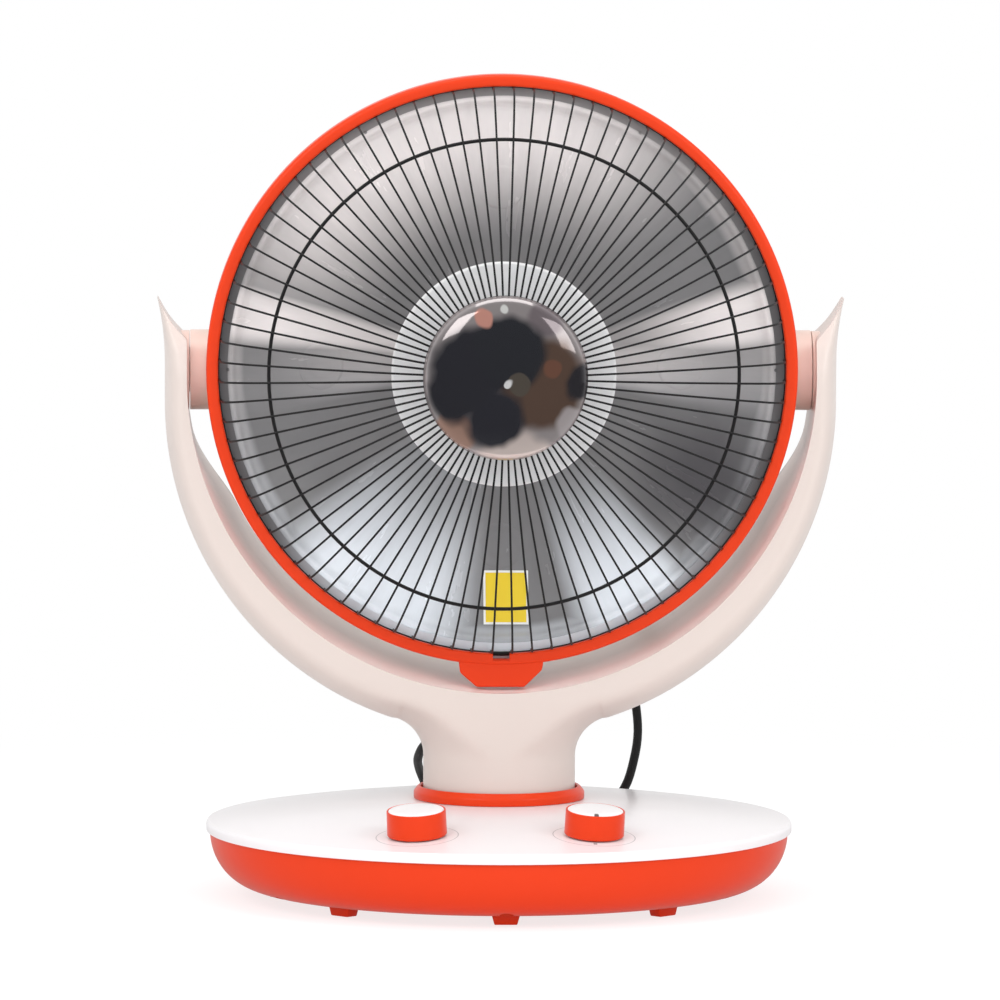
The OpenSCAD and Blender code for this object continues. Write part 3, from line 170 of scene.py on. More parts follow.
class Bench:
    """Modelling steps, each done with Blender's own mesh tools."""

    @staticmethod
    def clear() -> None:
        """Leaves edit mode and deselects everything."""
        if bpy.context.object is not None and bpy.context.object.mode != "OBJECT":
            bpy.ops.object.mode_set(mode="OBJECT")
        bpy.ops.object.select_all(action="DESELECT")

    @staticmethod
    def pick(piece: Piece) -> None:
        """Selects one piece alone and makes it the active one.

        Args:
            piece: the piece.
        """
        Bench.clear()
        piece.select_set(True)
        bpy.context.view_layer.objects.active = piece

    @staticmethod
    def edit(piece: Piece) -> None:
        """Opens one piece in edit mode, with all of it selected.

        Args:
            piece: the piece.
        """
        Bench.pick(piece)
        bpy.ops.object.mode_set(mode="EDIT")
        bpy.ops.mesh.select_all(action="SELECT")

    @staticmethod
    def named(name: str) -> Piece:
        """Names the piece that was just added.

        Args:
            name: the name for it and its mesh.

        Returns:
            The piece.
        """
        piece = bpy.context.object
        piece.name = name
        piece.data.name = name
        return piece

    @staticmethod
    def settle() -> None:
        """Puts the active piece's place, turn and size into its mesh."""
        bpy.ops.object.transform_apply(location=True, rotation=True, scale=True)

    @staticmethod
    def box(name: str, size: Point, centre: Point = (0, 0, 0)) -> Piece:
        """Adds a box.

        Args:
            name: the new piece's name.
            size: its width, depth and height, mm.
            centre: its middle, mm.

        Returns:
            The new piece.
        """
        Bench.clear()
        bpy.ops.mesh.primitive_cube_add(size=1, location=Vector(centre) * MM, scale=Vector(size) * MM)
        Bench.settle()
        return Bench.named(name)

    @staticmethod
    def post(name: str, radius: float, height: float, centre: Point = (0, 0, 0), sides: int = 24) -> Piece:
        """Adds an upright cylinder.

        Args:
            name: the new piece's name.
            radius: its radius, mm.
            height: its height, mm.
            centre: its middle, mm.
            sides: steps of its roundness.

        Returns:
            The new piece.
        """
        Bench.clear()
        bpy.ops.mesh.primitive_cylinder_add(
            vertices=sides, radius=radius * MM, depth=height * MM, location=Vector(centre) * MM,
        )
        Bench.settle()
        return Bench.named(name)

    @staticmethod
    def line(name: str, points: Sequence[Vector]) -> Piece:
        """Draws a line of edges by extruding one vertex, and stays in edit mode.

        Args:
            name: the new piece's name.
            points: its corners, in metres.

        Returns:
            The new piece, all of it selected.
        """
        Bench.clear()
        bpy.ops.mesh.primitive_plane_add(size=0.01, location=points[0])
        piece = Bench.named(name)
        Bench.settle()
        bpy.ops.object.mode_set(mode="EDIT")
        bpy.ops.mesh.select_mode(type="VERT")
        bpy.ops.mesh.select_all(action="SELECT")
        bpy.ops.mesh.merge(type="CENTER")
        for a, b in zip(points, points[1:]):
            bpy.ops.mesh.extrude_region_move(TRANSFORM_OT_translate={"value": Vector(b) - Vector(a)})
        bpy.ops.mesh.select_all(action="SELECT")
        return piece

    @staticmethod
    def close(piece: Piece, angle: float = 35) -> Piece:
        """Merges doubles, turns the faces outwards and smooths the shading.

        Args:
            piece: the piece, in edit mode.
            angle: edges sharper than this stay sharp, degrees.

        Returns:
            The piece.
        """
        bpy.ops.mesh.select_all(action="SELECT")
        bpy.ops.mesh.remove_doubles(threshold=DOUBLES)
        bpy.ops.mesh.normals_make_consistent(inside=False)
        bpy.ops.object.mode_set(mode="OBJECT")
        Bench.pick(piece)
        bpy.ops.object.shade_smooth_by_angle(angle=math.radians(angle))
        return piece

    @staticmethod
    def lathe(name: str, profile: Profile, axis: Axis, steps: int = 96, angle: float = 35) -> Piece:
        """Spins a profile into a turned piece.

        Args:
            name: the new piece's name.
            profile: radius and height of each corner, mm. It ends where it starts, or on the axis at both ends.
            axis: the line it is spun round.
            steps: copies in one turn.
            angle: edges sharper than this stay sharp, degrees.

        Returns:
            The new piece.
        """
        piece = Bench.line(name, [axis.at(r, h) for r, h in profile])
        bpy.ops.mesh.spin(
            steps=steps, angle=math.tau, center=axis.centre, axis=axis.direction, use_auto_merge=True,
        )
        return Bench.close(piece, angle)

    @staticmethod
    def tube(name: str, points: Sequence[Vector], radius: float, sides: int = 2) -> Piece:
        """Draws a round wire or lead along points.

        Args:
            name: the new piece's name.
            points: its centreline, in metres.
            radius: its radius, mm.
            sides: roundness, as the curve's bevel resolution.

        Returns:
            The new piece, a mesh.
        """
        piece = Bench.line(name, points)
        Bench.pick(piece)
        bpy.ops.object.convert(target="CURVE")
        curve = bpy.context.object
        curve.data.dimensions = "3D"
        curve.data.bevel_depth = radius * MM
        curve.data.bevel_resolution = sides
        curve.data.use_fill_caps = True
        bpy.ops.object.convert(target="MESH")
        piece = Bench.named(name)
        bpy.ops.object.mode_set(mode="EDIT")
        return Bench.close(piece, 50)

    @staticmethod
    def plate(name: str, outline: Sequence[Point], depth: Point, bevel: float) -> Piece:
        """Makes a flat-sided piece from an outline, pushes it through and rounds its edges.

        Args:
            name: the new piece's name.
            outline: its corners in one plane, mm.
            depth: how far it is extruded, mm.
            bevel: width of its rounded edges, mm.

        Returns:
            The new piece.
        """
        piece = Bench.line(name, [Vector(p) * MM for p in (*outline, outline[0])])
        bpy.ops.mesh.remove_doubles(threshold=DOUBLES)
        bpy.ops.mesh.select_all(action="SELECT")
        bpy.ops.mesh.edge_face_add()
        bpy.ops.mesh.extrude_region_move(TRANSFORM_OT_translate={"value": Vector(depth) * MM})
        return Bench.rounded(Bench.close(piece), bevel, 3, 30)

    @staticmethod
    def rounded(piece: Piece, width: float, segments: int, angle: float) -> Piece:
        """Rounds the sharp edges of a piece.

        Args:
            piece: the piece.
            width: width of the rounding, mm.
            segments: its steps.
            angle: edges sharper than this are rounded, degrees.

        Returns:
            The piece.
        """
        Bench.pick(piece)
        bpy.ops.object.modifier_add(type="BEVEL")
        bevel = piece.modifiers[-1]
        bevel.width = width * MM
        bevel.segments = segments
        bevel.limit_method = "ANGLE"
        bevel.angle_limit = math.radians(angle)
        bevel.harden_normals = False
        bpy.ops.object.modifier_apply(modifier=bevel.name)
        bpy.ops.object.shade_smooth_by_angle(angle=math.radians(40))
        return piece

    @staticmethod
    def carve(piece: Piece, tool: Piece) -> Piece:
        """Cuts a piece with another, and removes the other.

        Args:
            piece: what is cut.
            tool: what cuts it.

        Returns:
            The piece.
        """
        Bench.pick(piece)
        bpy.ops.object.modifier_add(type="BOOLEAN")
        cut = piece.modifiers[-1]
        cut.object = tool
        cut.operation = "DIFFERENCE"
        cut.solver = "EXACT"
        bpy.ops.object.modifier_apply(modifier=cut.name)
        bpy.data.objects.remove(tool, do_unlink=True)
        Bench.pick(piece)
        bpy.ops.object.shade_smooth_by_angle(angle=math.radians(35))
        return piece

    @staticmethod
    def placed(piece: Piece, matrix: Matrix) -> Piece:
        """Moves a piece and keeps its place in its mesh.

        Args:
            piece: the piece.
            matrix: the move, in metres.

        Returns:
            The piece.
        """
        Bench.pick(piece)
        piece.matrix_world = matrix
        Bench.settle()
        return piece

    @staticmethod
    def copies(piece: Piece, n: int, axis: Axis) -> Piece:
        """Repeats all of a piece round an axis, inside the same mesh.

        Args:
            piece: the piece.
            n: how many there are in the end.
            axis: the line they are set round.

        Returns:
            The piece.
        """
        Bench.edit(piece)
        bpy.ops.mesh.spin(steps=n, angle=math.tau, dupli=True, center=axis.centre, axis=axis.direction)
        return Bench.close(piece)

    @staticmethod
    def pair(name: str, profile: Profile, x: float, way: int, steps: int) -> Piece:
        """Turns two equal pieces on the axis that the head tilts on, one on each side.

        Args:
            name: the joined piece's name.
            profile: radius and height of each corner, mm.
            x: how far their feet are from the middle, mm.
            way: 1 where their heights run outwards, -1 where they run inwards.
            steps: copies in one turn.

        Returns:
            The two as one piece.
        """
        parts = []
        for side in (-1, 1):
            turn = Matrix.Rotation(math.radians(90 * way * side), 4, "Y")
            place = Matrix.Translation(Vector((x * side, 0, TILT_Z)) * MM)
            parts.append(Bench.placed(Bench.lathe(name, profile, Axis.BASE, steps), place @ turn))
        return Bench.joined(name, parts)

    @staticmethod
    def joined(name: str, pieces: Sequence[Piece]) -> Piece:
        """Joins pieces into one mesh.

        Args:
            name: the joined piece's name.
            pieces: what is joined.

        Returns:
            The joined piece.
        """
        Bench.clear()
        for piece in pieces:
            piece.select_set(True)
        bpy.context.view_layer.objects.active = pieces[0]
        bpy.ops.object.join()
        return Bench.named(name)


class Shader:
    """A material's node tree, with short ways to add and join nodes."""

    def __init__(self, tree: bpy.types.NodeTree) -> None:
        """Keeps the tree that nodes are added to."""
        self.tree = tree

    @classmethod
    def of(cls, owner: bpy.types.ID) -> "Shader":
        """Empties the node tree of a material or a world.

        Args:
            owner: the material or world.

        Returns:
            The shader that adds nodes to it.
        """
        owner.use_nodes = True
        owner.node_tree.nodes.clear()
        return cls(owner.node_tree)

    def add(self, kind: str, **settings: object) -> Node:
        """Adds a node.

        Args:
            kind: the node's type.
            **settings: its properties, or the values of its inputs by name.

        Returns:
            The node.
        """
        node = self.tree.nodes.new(kind)
        for key, value in settings.items():
            if hasattr(node, key):
                setattr(node, key, value)
            else:
                self.feed(node.inputs[key.replace("_", " ")], value)
        return node

    def join(self, source: Socket, target: Socket) -> None:
        """Links one socket to another."""
        self.tree.links.new(source, target)

    def feed(self, target: Socket, value: object) -> None:
        """Gives an input its value.

        Args:
            target: the input.
            value: a socket that is joined to it, a colour or a number.
        """
        if isinstance(value, Socket):
            self.join(value, target)
        else:
            target.default_value = (*value, 1.0) if isinstance(value, tuple) else value

    def math(self, operation: str, *values: object) -> Socket:
        """Adds a math node.

        Args:
            operation: what it does.
            *values: numbers or sockets for its inputs.

        Returns:
            Its output.
        """
        node = self.add("ShaderNodeMath", operation=operation)
        for target, value in zip(node.inputs, values):
            self.feed(target, value)
        return node.outputs[0]

    def away(self, x: Socket, y: Socket) -> Socket:
        """Distance of a place from the middle, out of its two coordinates."""
        return self.math("SQRT", self.math("ADD", self.math("MULTIPLY", x, x), self.math("MULTIPLY", y, y)))

    def mix(self, factor: object, a: object, b: object) -> Socket:
        """Mixes two colours.

        Args:
            factor: number or socket.
            a: the colour or socket at 0.
            b: the colour or socket at 1.

        Returns:
            The mixed colour.
        """
        node = self.add("ShaderNodeMix", data_type="RGBA")
        for target, value in ((node.inputs[0], factor), (node.inputs[6], a), (node.inputs[7], b)):
            self.feed(target, value)
        return node.outputs[2]

    def merge(self, factor: Socket, a: Node, b: Node) -> Node:
        """Mixes the shaders of two nodes.

        Args:
            factor: the share of the second.
            a: the node at 0.
            b: the node at 1.

        Returns:
            The mixing node.
        """
        node = self.add("ShaderNodeMixShader")
        for source, target in zip((factor, a.outputs[0], b.outputs[0]), node.inputs):
            self.join(source, target)
        return node

    def spread(self, source: Socket, low: float, high: float, to_low: float, to_high: float) -> Socket:
        """Maps a range of values to another, eased at both ends.

        Args:
            source: the value.
            low: its lowest.
            high: its highest.
            to_low: result at low.
            to_high: result at high.

        Returns:
            The mapped value.
        """
        node = self.add("ShaderNodeMapRange", interpolation_type="SMOOTHSTEP")
        for target, value in zip(node.inputs, (source, low, high, to_low, to_high)):
            self.feed(target, value)
        return node.outputs[0]

    def spot(self) -> Socket:
        """The place on the piece, in its own coordinates, metres."""
        return self.add("ShaderNodeTexCoord").outputs["Object"]

    def cut(self, place: Socket) -> tuple[Socket, ...]:
        """The three coordinates of a place."""
        return tuple(self.add("ShaderNodeSeparateXYZ", Vector=place).outputs)

    def rays(self) -> tuple[Socket, Socket]:
        """Whether a ray comes from the camera, straight or through glass, and whether from a reflection."""
        ray = self.add("ShaderNodeLightPath").outputs
        return self.math("MAXIMUM", ray["Is Camera Ray"], ray["Is Transmission Ray"]), ray["Is Glossy Ray"]

    def noise(self, place: Socket, scale: object, detail: float = 2.0, roughness: float = 0.5) -> Socket:
        """Adds a noise over the piece.

        Args:
            place: where it is read.
            scale: how fine it is, as a number or socket.
            detail: its layers.
            roughness: how strong the finer layers are.

        Returns:
            Its value, about 0.5 on average.
        """
        node = self.add("ShaderNodeTexNoise", Vector=place, Scale=scale, Detail=detail, Roughness=roughness)
        return node.outputs[0]


def group(name: str, inputs: dict[str, float], build: Callable[[Shader, Node, Node], None],
          outputs: Sequence[str]) -> bpy.types.NodeTree:
    """Makes a shader node group, or finds it if it was made before.

    Args:
        name: the group's name.
        inputs: names and defaults of its number inputs.
        build: adds the nodes between the group's input and output.
        outputs: names of its number outputs.

    Returns:
        The group.
    """
    if name in bpy.data.node_groups:
        return bpy.data.node_groups[name]
    tree = bpy.data.node_groups.new(name, "ShaderNodeTree")
    for key, value in inputs.items():
        tree.interface.new_socket(key, in_out="INPUT", socket_type="NodeSocketFloat").default_value = value
    for key in outputs:
        tree.interface.new_socket(key, in_out="OUTPUT", socket_type="NodeSocketFloat")
    shader = Shader(tree)
    build(shader, tree.nodes.new("NodeGroupInput"), tree.nodes.new("NodeGroupOutput"))
    return tree


def moulded_surface() -> bpy.types.NodeTree:
    """The faint waviness, grain and soiling of a moulded or painted surface.

    Returns:
        The node group.
    """

    def build(s: Shader, start: Node, end: Node) -> None:
        """Adds the group's nodes.

        Args:
            s: the group's node tree.
            start: the node with its inputs.
            end: the node with its outputs.
        """
        place = s.spot()
        wave = s.noise(place, start.outputs["Wave Scale"])
        grain = s.noise(place, start.outputs["Grain Scale"], 3.0, 0.6)
        smudge = s.noise(place, 14.0, 5.0, 0.62)
        height = s.math("MULTIPLY", wave, start.outputs["Wave"])
        s.join(s.math("ADD", height, s.math("MULTIPLY", grain, start.outputs["Grain"])), end.inputs["Height"])
        soil = s.spread(smudge, 0.42, 0.72, 0.0, 1.0)
        s.join(s.math("MULTIPLY", soil, start.outputs["Smudge"]), end.inputs["Smudge"])
        tone = s.math("SUBTRACT", wave, 0.5)
        s.join(s.math("MULTIPLY", tone, start.outputs["Tone"]), end.inputs["Tone"])

    inputs = {"Wave Scale": 18.0, "Wave": 0.3, "Grain Scale": 900.0, "Grain": 0.05, "Smudge": 0.1, "Tone": 0.04}
    return group("Moulded surface", inputs, build, ("Height", "Smudge", "Tone"))


def rings_in_metal() -> bpy.types.NodeTree:
    """Turning marks round the head's axis, and streaks that run out from it.

    Returns:
        The node group.
    """

    def build(s: Shader, start: Node, end: Node) -> None:
        """Adds the group's nodes.

        Args:
            s: the group's node tree.
            start: the node with its inputs.
            end: the node with its outputs.
        """
        x, _, z = s.cut(s.spot())
        z = s.math("SUBTRACT", z, HEAD_Z * MM)
        r = s.away(x, z)
        turn = s.math("ARCTAN2", z, x)
        lines = s.add("ShaderNodeTexNoise", noise_dimensions="1D", Scale=1.0, Detail=3.0, Roughness=0.7,
                      W=s.math("MULTIPLY", r, start.outputs["Ring Scale"]))
        s.join(s.math("MULTIPLY", lines.outputs[0], start.outputs["Ring"]), end.inputs["Height"])
        sweep = s.add("ShaderNodeCombineXYZ", X=s.math("COSINE", turn), Y=s.math("SINE", turn),
                      Z=s.math("MULTIPLY", r, 2.0))
        streak = s.math("SUBTRACT", s.noise(sweep.outputs[0], 9.0, 4.0, 0.6), 0.5)
        s.join(s.math("MULTIPLY", streak, start.outputs["Streak"]), end.inputs["Streak"])
        s.join(r, end.inputs["Radius"])
        s.join(turn, end.inputs["Turn"])

    inputs = {"Ring Scale": 2600.0, "Ring": 0.2, "Streak": 0.3}
    return group("Turned metal", inputs, build, ("Height", "Streak", "Radius", "Turn"))


@dataclass(frozen=True)
class Finish:
    """A finish: its colour and the numbers of its surface."""

    name: str
    color: Color
    roughness: float = 0.35
    metallic: float = 0.0
    coat: float = 0.0
    wave: float = 0.25
    grain: float = 0.05
    grain_scale: float = 900.0
    smudge: float = 0.06
    tone: float = 0.05
    bump: float = 0.0004
    specular: float = 0.5
    anisotropic: float = 0.0
    seam: bool = False
    seam_half: float = 0.35
    seam_depth: float = -1.6

    def tinted(self, gain: float, lift: float = 0.0) -> Color:
        """The finish's colour times a gain, plus a lift, with no channel above 1."""
        return tuple(min(1.0, c * gain + lift) for c in self.color)

    def marks(self, s: Shader, color: Socket) -> Socket:
        """Colours printed or scored on the surface, and painted light where a finish adds it; none on a plain
        finish.
        """
        return color

    def surface(self, s: Shader, body: Node) -> None:
        """Adds the waviness, grain, soiling and marks of a moulded or painted surface.

        Args:
            s: the material's node tree.
            body: its shader.
        """
        mould = s.add(
            "ShaderNodeGroup", node_tree=moulded_surface(), Grain_Scale=self.grain_scale, Wave=self.wave,
            Grain=self.grain, Smudge=self.smudge, Tone=self.tone,
        )
        soil = mould.outputs["Smudge"]
        color = s.mix(s.math("ADD", mould.outputs["Tone"], 0.5), self.tinted(0.86), self.tinted(1.12, 0.01))
        color = s.mix(s.math("MULTIPLY", soil, 0.5), color, self.tinted(0.8))
        s.join(self.marks(s, color), body.inputs["Base Color"])
        s.join(s.math("ADD", soil, self.roughness), body.inputs["Roughness"])
        height = mould.outputs["Height"]
        if self.seam:
            off = s.math("ABSOLUTE", s.cut(s.spot())[1])
            height = s.math("ADD", height, s.spread(off, 0.0, self.seam_half * MM, self.seam_depth, 0.0))
        bump = s.add("ShaderNodeBump", Strength=0.5, Distance=self.bump, Height=height)
        s.join(bump.outputs[0], body.inputs["Normal"])

    def build(self) -> bpy.types.Material:
        """Makes the material, or finds it if it was made before.

        Returns:
            The material.
        """
        if self.name in bpy.data.materials:
            return bpy.data.materials[self.name]
        material = bpy.data.materials.new(self.name)
        s = Shader.of(material)
        body = s.add(
            "ShaderNodeBsdfPrincipled", Base_Color=self.color, Roughness=self.roughness, Metallic=self.metallic,
            Coat_Weight=self.coat, Coat_Roughness=0.06, Specular_IOR_Level=self.specular,
            Anisotropic=self.anisotropic,
        )
        s.add("ShaderNodeOutputMaterial", Surface=body.outputs[0])
        self.surface(s, body)
        return material


@dataclass(frozen=True)
class PrintedFinish(Finish):
    """A finish with a thin grey ring round each knob and a tick by the right one."""

    knob_x: float = 51.0
    knob_y: float = -125.0
    ring: float = 23.7
    line: float = 0.45
    tick: float = 19.2
    tick_wide: float = 0.8
    tick_long: float = 1.2
    soft: float = 0.4
    ink: Color = (0.5, 0.49, 0.5)
    tick_ink: Color = (0.2, 0.19, 0.2)

    def marks(self, s: Shader, color: Socket) -> Socket:
        """Adds the rings round both knobs and the right one's tick.

        Args:
            s: the material's node tree.
            color: the colour without them.

        Returns:
            The colour with them.
        """
        across, y, _ = s.cut(s.spot())
        x = s.math("SUBTRACT", s.math("ABSOLUTE", across), self.knob_x * MM)
        y = s.math("SUBTRACT", y, self.knob_y * MM)
        r = s.away(x, y)
        off = s.math("ABSOLUTE", s.math("SUBTRACT", r, self.ring * MM))
        ring = s.spread(off, self.line * 0.5 * MM, self.line * 0.9 * MM, 1.0, 0.0)
        along = s.math("ABSOLUTE", s.math("SUBTRACT", r, self.tick * MM))
        wide, long, soft = self.tick_wide * MM, self.tick_long * MM, self.soft * MM
        tick = s.math("MULTIPLY", s.spread(s.math("ABSOLUTE", x), wide, wide + soft, 1.0, 0.0),
                      s.spread(along, long, long + soft, 1.0, 0.0))
        tick = s.math("MULTIPLY", tick, s.math("LESS_THAN", y, 0.0))
        tick = s.math("MULTIPLY", tick, s.math("GREATER_THAN", across, 0.0))
        return s.mix(tick, s.mix(ring, color, self.ink), self.tick_ink)


@dataclass(frozen=True)
class BowFinishWithPaintedLight(Finish):
    """A finish with painted light: its tone is lighter on the inner wall of the yoke's bow."""

    bow_r: float = 184.0
    bow_z: float = 308.2
    low_z: float = -60.0
    high_z: float = -20.0
    slope: float = 0.07
    front_y: float = 25.5
    back_y: float = 29.5
    # tone of the painted light on the bow's inner wall
    wall: Color = (0.98, 0.87, 0.81)

    def marks(self, s: Shader, color: Socket) -> Socket:
        """Paints light on what lies inside the bow's front edge, below its centre and short of the back edge.

        Args:
            s: the material's node tree.
            color: the colour elsewhere.

        Returns:
            The colour.
        """
        x, y, z = s.cut(s.spot())
        z = s.math("SUBTRACT", z, self.bow_z * MM)
        inside = s.spread(s.away(x, z), (self.bow_r - 0.6) * MM, (self.bow_r + 0.4) * MM, 1.0, 0.0)
        low = s.spread(z, self.low_z * MM, self.high_z * MM, 1.0, 0.0)
        deep = s.math("ADD", y, s.math("MULTIPLY", z, self.slope))
        front = s.spread(deep, self.front_y * MM, self.back_y * MM, 1.0, 0.0)
        # painted light where the wall, low and front masks meet
        return s.mix(s.math("MULTIPLY", s.math("MULTIPLY", inside, low), front), color, self.wall)


@dataclass(frozen=True)
class PaintedHighlightFan:
    """A painted highlight fan on turned metal: its middle and half width in degrees, its strength inside and
    outside.
    """

    middle: float
    half: float
    inner: float
    outer: float
    inner_r: float = 70.0
    outer_r: float = 143.0

    def mask(self, s: Shader, radius: Socket, turn: Socket) -> Socket:
        """How strong the painted highlight is at a place.

        Args:
            s: the material's node tree.
            radius: distance from the axis, in metres.
            turn: angle round the axis, in radians.

        Returns:
            The strength, 0 to 1.
        """
        near = s.math("COSINE", s.math("SUBTRACT", turn, math.radians(self.middle)))
        edge, core = math.cos(math.radians(self.half)), math.cos(math.radians(self.half * 0.25))
        strength = s.spread(radius, self.inner_r * MM, self.outer_r * MM, self.inner, self.outer)
        return s.math("MULTIPLY", s.spread(near, edge, core, 0.0, 1.0), strength)


@dataclass(frozen=True)
class ReflectionPatch:
    """A soft round patch of painted reflection, lighter or darker than the metal round it: its place off the
    axis and radius in mm, and its solid share.
    """

    x: float
    z: float
    radius: float
    color: Color
    core: float = 0.7


@dataclass(frozen=True)
class TurnedFinish(Finish):
    """Sheet metal turned round the head's axis, with painted highlights and painted reflections on it."""

    ring: float = 0.2
    streak: float = 0.3
    # painted highlight fans, then painted reflection patches
    highlight_fans: tuple[PaintedHighlightFan, ...] = ()
    reflection_patches: tuple[ReflectionPatch, ...] = ()
    # painted highlight round the outer rim: its strength, and the radii it rises between, mm
    rim: float = 0.34
    rim_highlight_from: float = 149.0
    rim_highlight_to: float = 155.0
    # how far the edges of the painted reflections wander, mm
    wobble: float = 16.0
    # tints of the painted highlights in the upper and in the lower half
    upper_highlight_tint: Color = (1.0, 0.935, 0.92)
    lower_highlight_tint: Color = (0.9, 0.945, 1.0)

    def painted_highlights(self, s: Shader, turned: Node, color: Socket) -> Socket:
        """Paints highlight fans and a bright rim into the colour, warm in the upper half and cool in the lower.

        Args:
            s: the material's node tree.
            turned: the node with radius, angle and streaks.
            color: the colour outside the painted highlights.

        Returns:
            The colour.
        """
        radius, turn = turned.outputs["Radius"], turned.outputs["Turn"]
        # painted highlight: a bright rim, then the fans, streaked by the turning marks
        strength = s.spread(radius, self.rim_highlight_from * MM, self.rim_highlight_to * MM, 0.0, self.rim)
        for fan in self.highlight_fans:
            strength = s.math("MAXIMUM", strength, fan.mask(s, radius, turn))
        grain = s.math("ADD", s.math("MULTIPLY", turned.outputs["Streak"], 1.2), 1.0)
        strength = s.math("MINIMUM", s.math("MULTIPLY", strength, grain), 1.0)
        # painted highlight tint, warm above and cool below
        bright = s.mix(s.spread(s.math("SINE", turn), -0.7, 0.2, 0.0, 1.0), self.lower_highlight_tint, self.upper_highlight_tint)
        return s.mix(strength, color, bright)

    def painted_reflections(self, s: Shader, color: Socket) -> Socket:
        """Paints soft patches of reflected light and shade over the colour.

        Args:
            s: the material's node tree.
            color: the colour outside the painted reflections.

        Returns:
            The colour.
        """
        place = s.spot()
        across, _, up = s.cut(place)
        wobble = s.math("MULTIPLY", s.math("SUBTRACT", s.noise(place, 38.0), 0.5), self.wobble * MM)
        # painted reflections, light and dark, laid one over another
        for patch in self.reflection_patches:
            x = s.math("SUBTRACT", across, patch.x * MM)
            z = s.math("SUBTRACT", up, (HEAD_Z + patch.z) * MM)
            r = s.math("ADD", s.away(x, z), wobble)
            core = patch.radius * patch.core * MM
            color = s.mix(s.spread(r, core, patch.radius * MM, 1.0, 0.0), color, patch.color)
        return color

    def surface(self, s: Shader, body: Node) -> None:
        """Adds turning marks, streaks, painted highlight fans and painted reflection patches.

        Args:
            s: the material's node tree.
            body: its shader.
        """
        turned = s.add("ShaderNodeGroup", node_tree=rings_in_metal(), Ring=self.ring, Streak=self.streak)
        streak = turned.outputs["Streak"]
        color = s.mix(s.math("ADD", streak, 0.5), self.tinted(0.72), self.tinted(1.3))
        # painted highlights, then painted reflections, over the turned tone
        if self.highlight_fans:
            color = self.painted_highlights(s, turned, color)
        if self.reflection_patches:
            color = self.painted_reflections(s, color)
        s.join(color, body.inputs["Base Color"])
        rough = s.math("ADD", s.math("MULTIPLY", streak, 0.25), self.roughness)
        s.join(rough, body.inputs["Roughness"])
        bump = s.add("ShaderNodeBump", Strength=0.4, Distance=self.bump, Height=turned.outputs["Height"])
        s.join(bump.outputs[0], body.inputs["Normal"])
        if self.anisotropic:
            s.feed(body.inputs["Anisotropic Rotation"], 0.25)
            tangent = s.add("ShaderNodeTangent", direction_type="RADIAL", axis="Y")
            s.join(tangent.outputs[0], body.inputs["Tangent"])


@dataclass(frozen=True)
class ClearFinish(Finish):
    """Clear fused quartz."""

    def surface(self, s: Shader, body: Node) -> None:
        """Lets light through and adds a faint veil.

        Args:
            s: the material's node tree.
            body: its shader.
        """
        s.feed(body.inputs["Transmission Weight"], 1.0)
        s.feed(body.inputs["IOR"], 1.46)
        veil = s.noise(s.spot(), 60.0)
        s.join(s.spread(veil, 0.4, 0.7, self.roughness, self.roughness + 0.08), body.inputs["Roughness"])


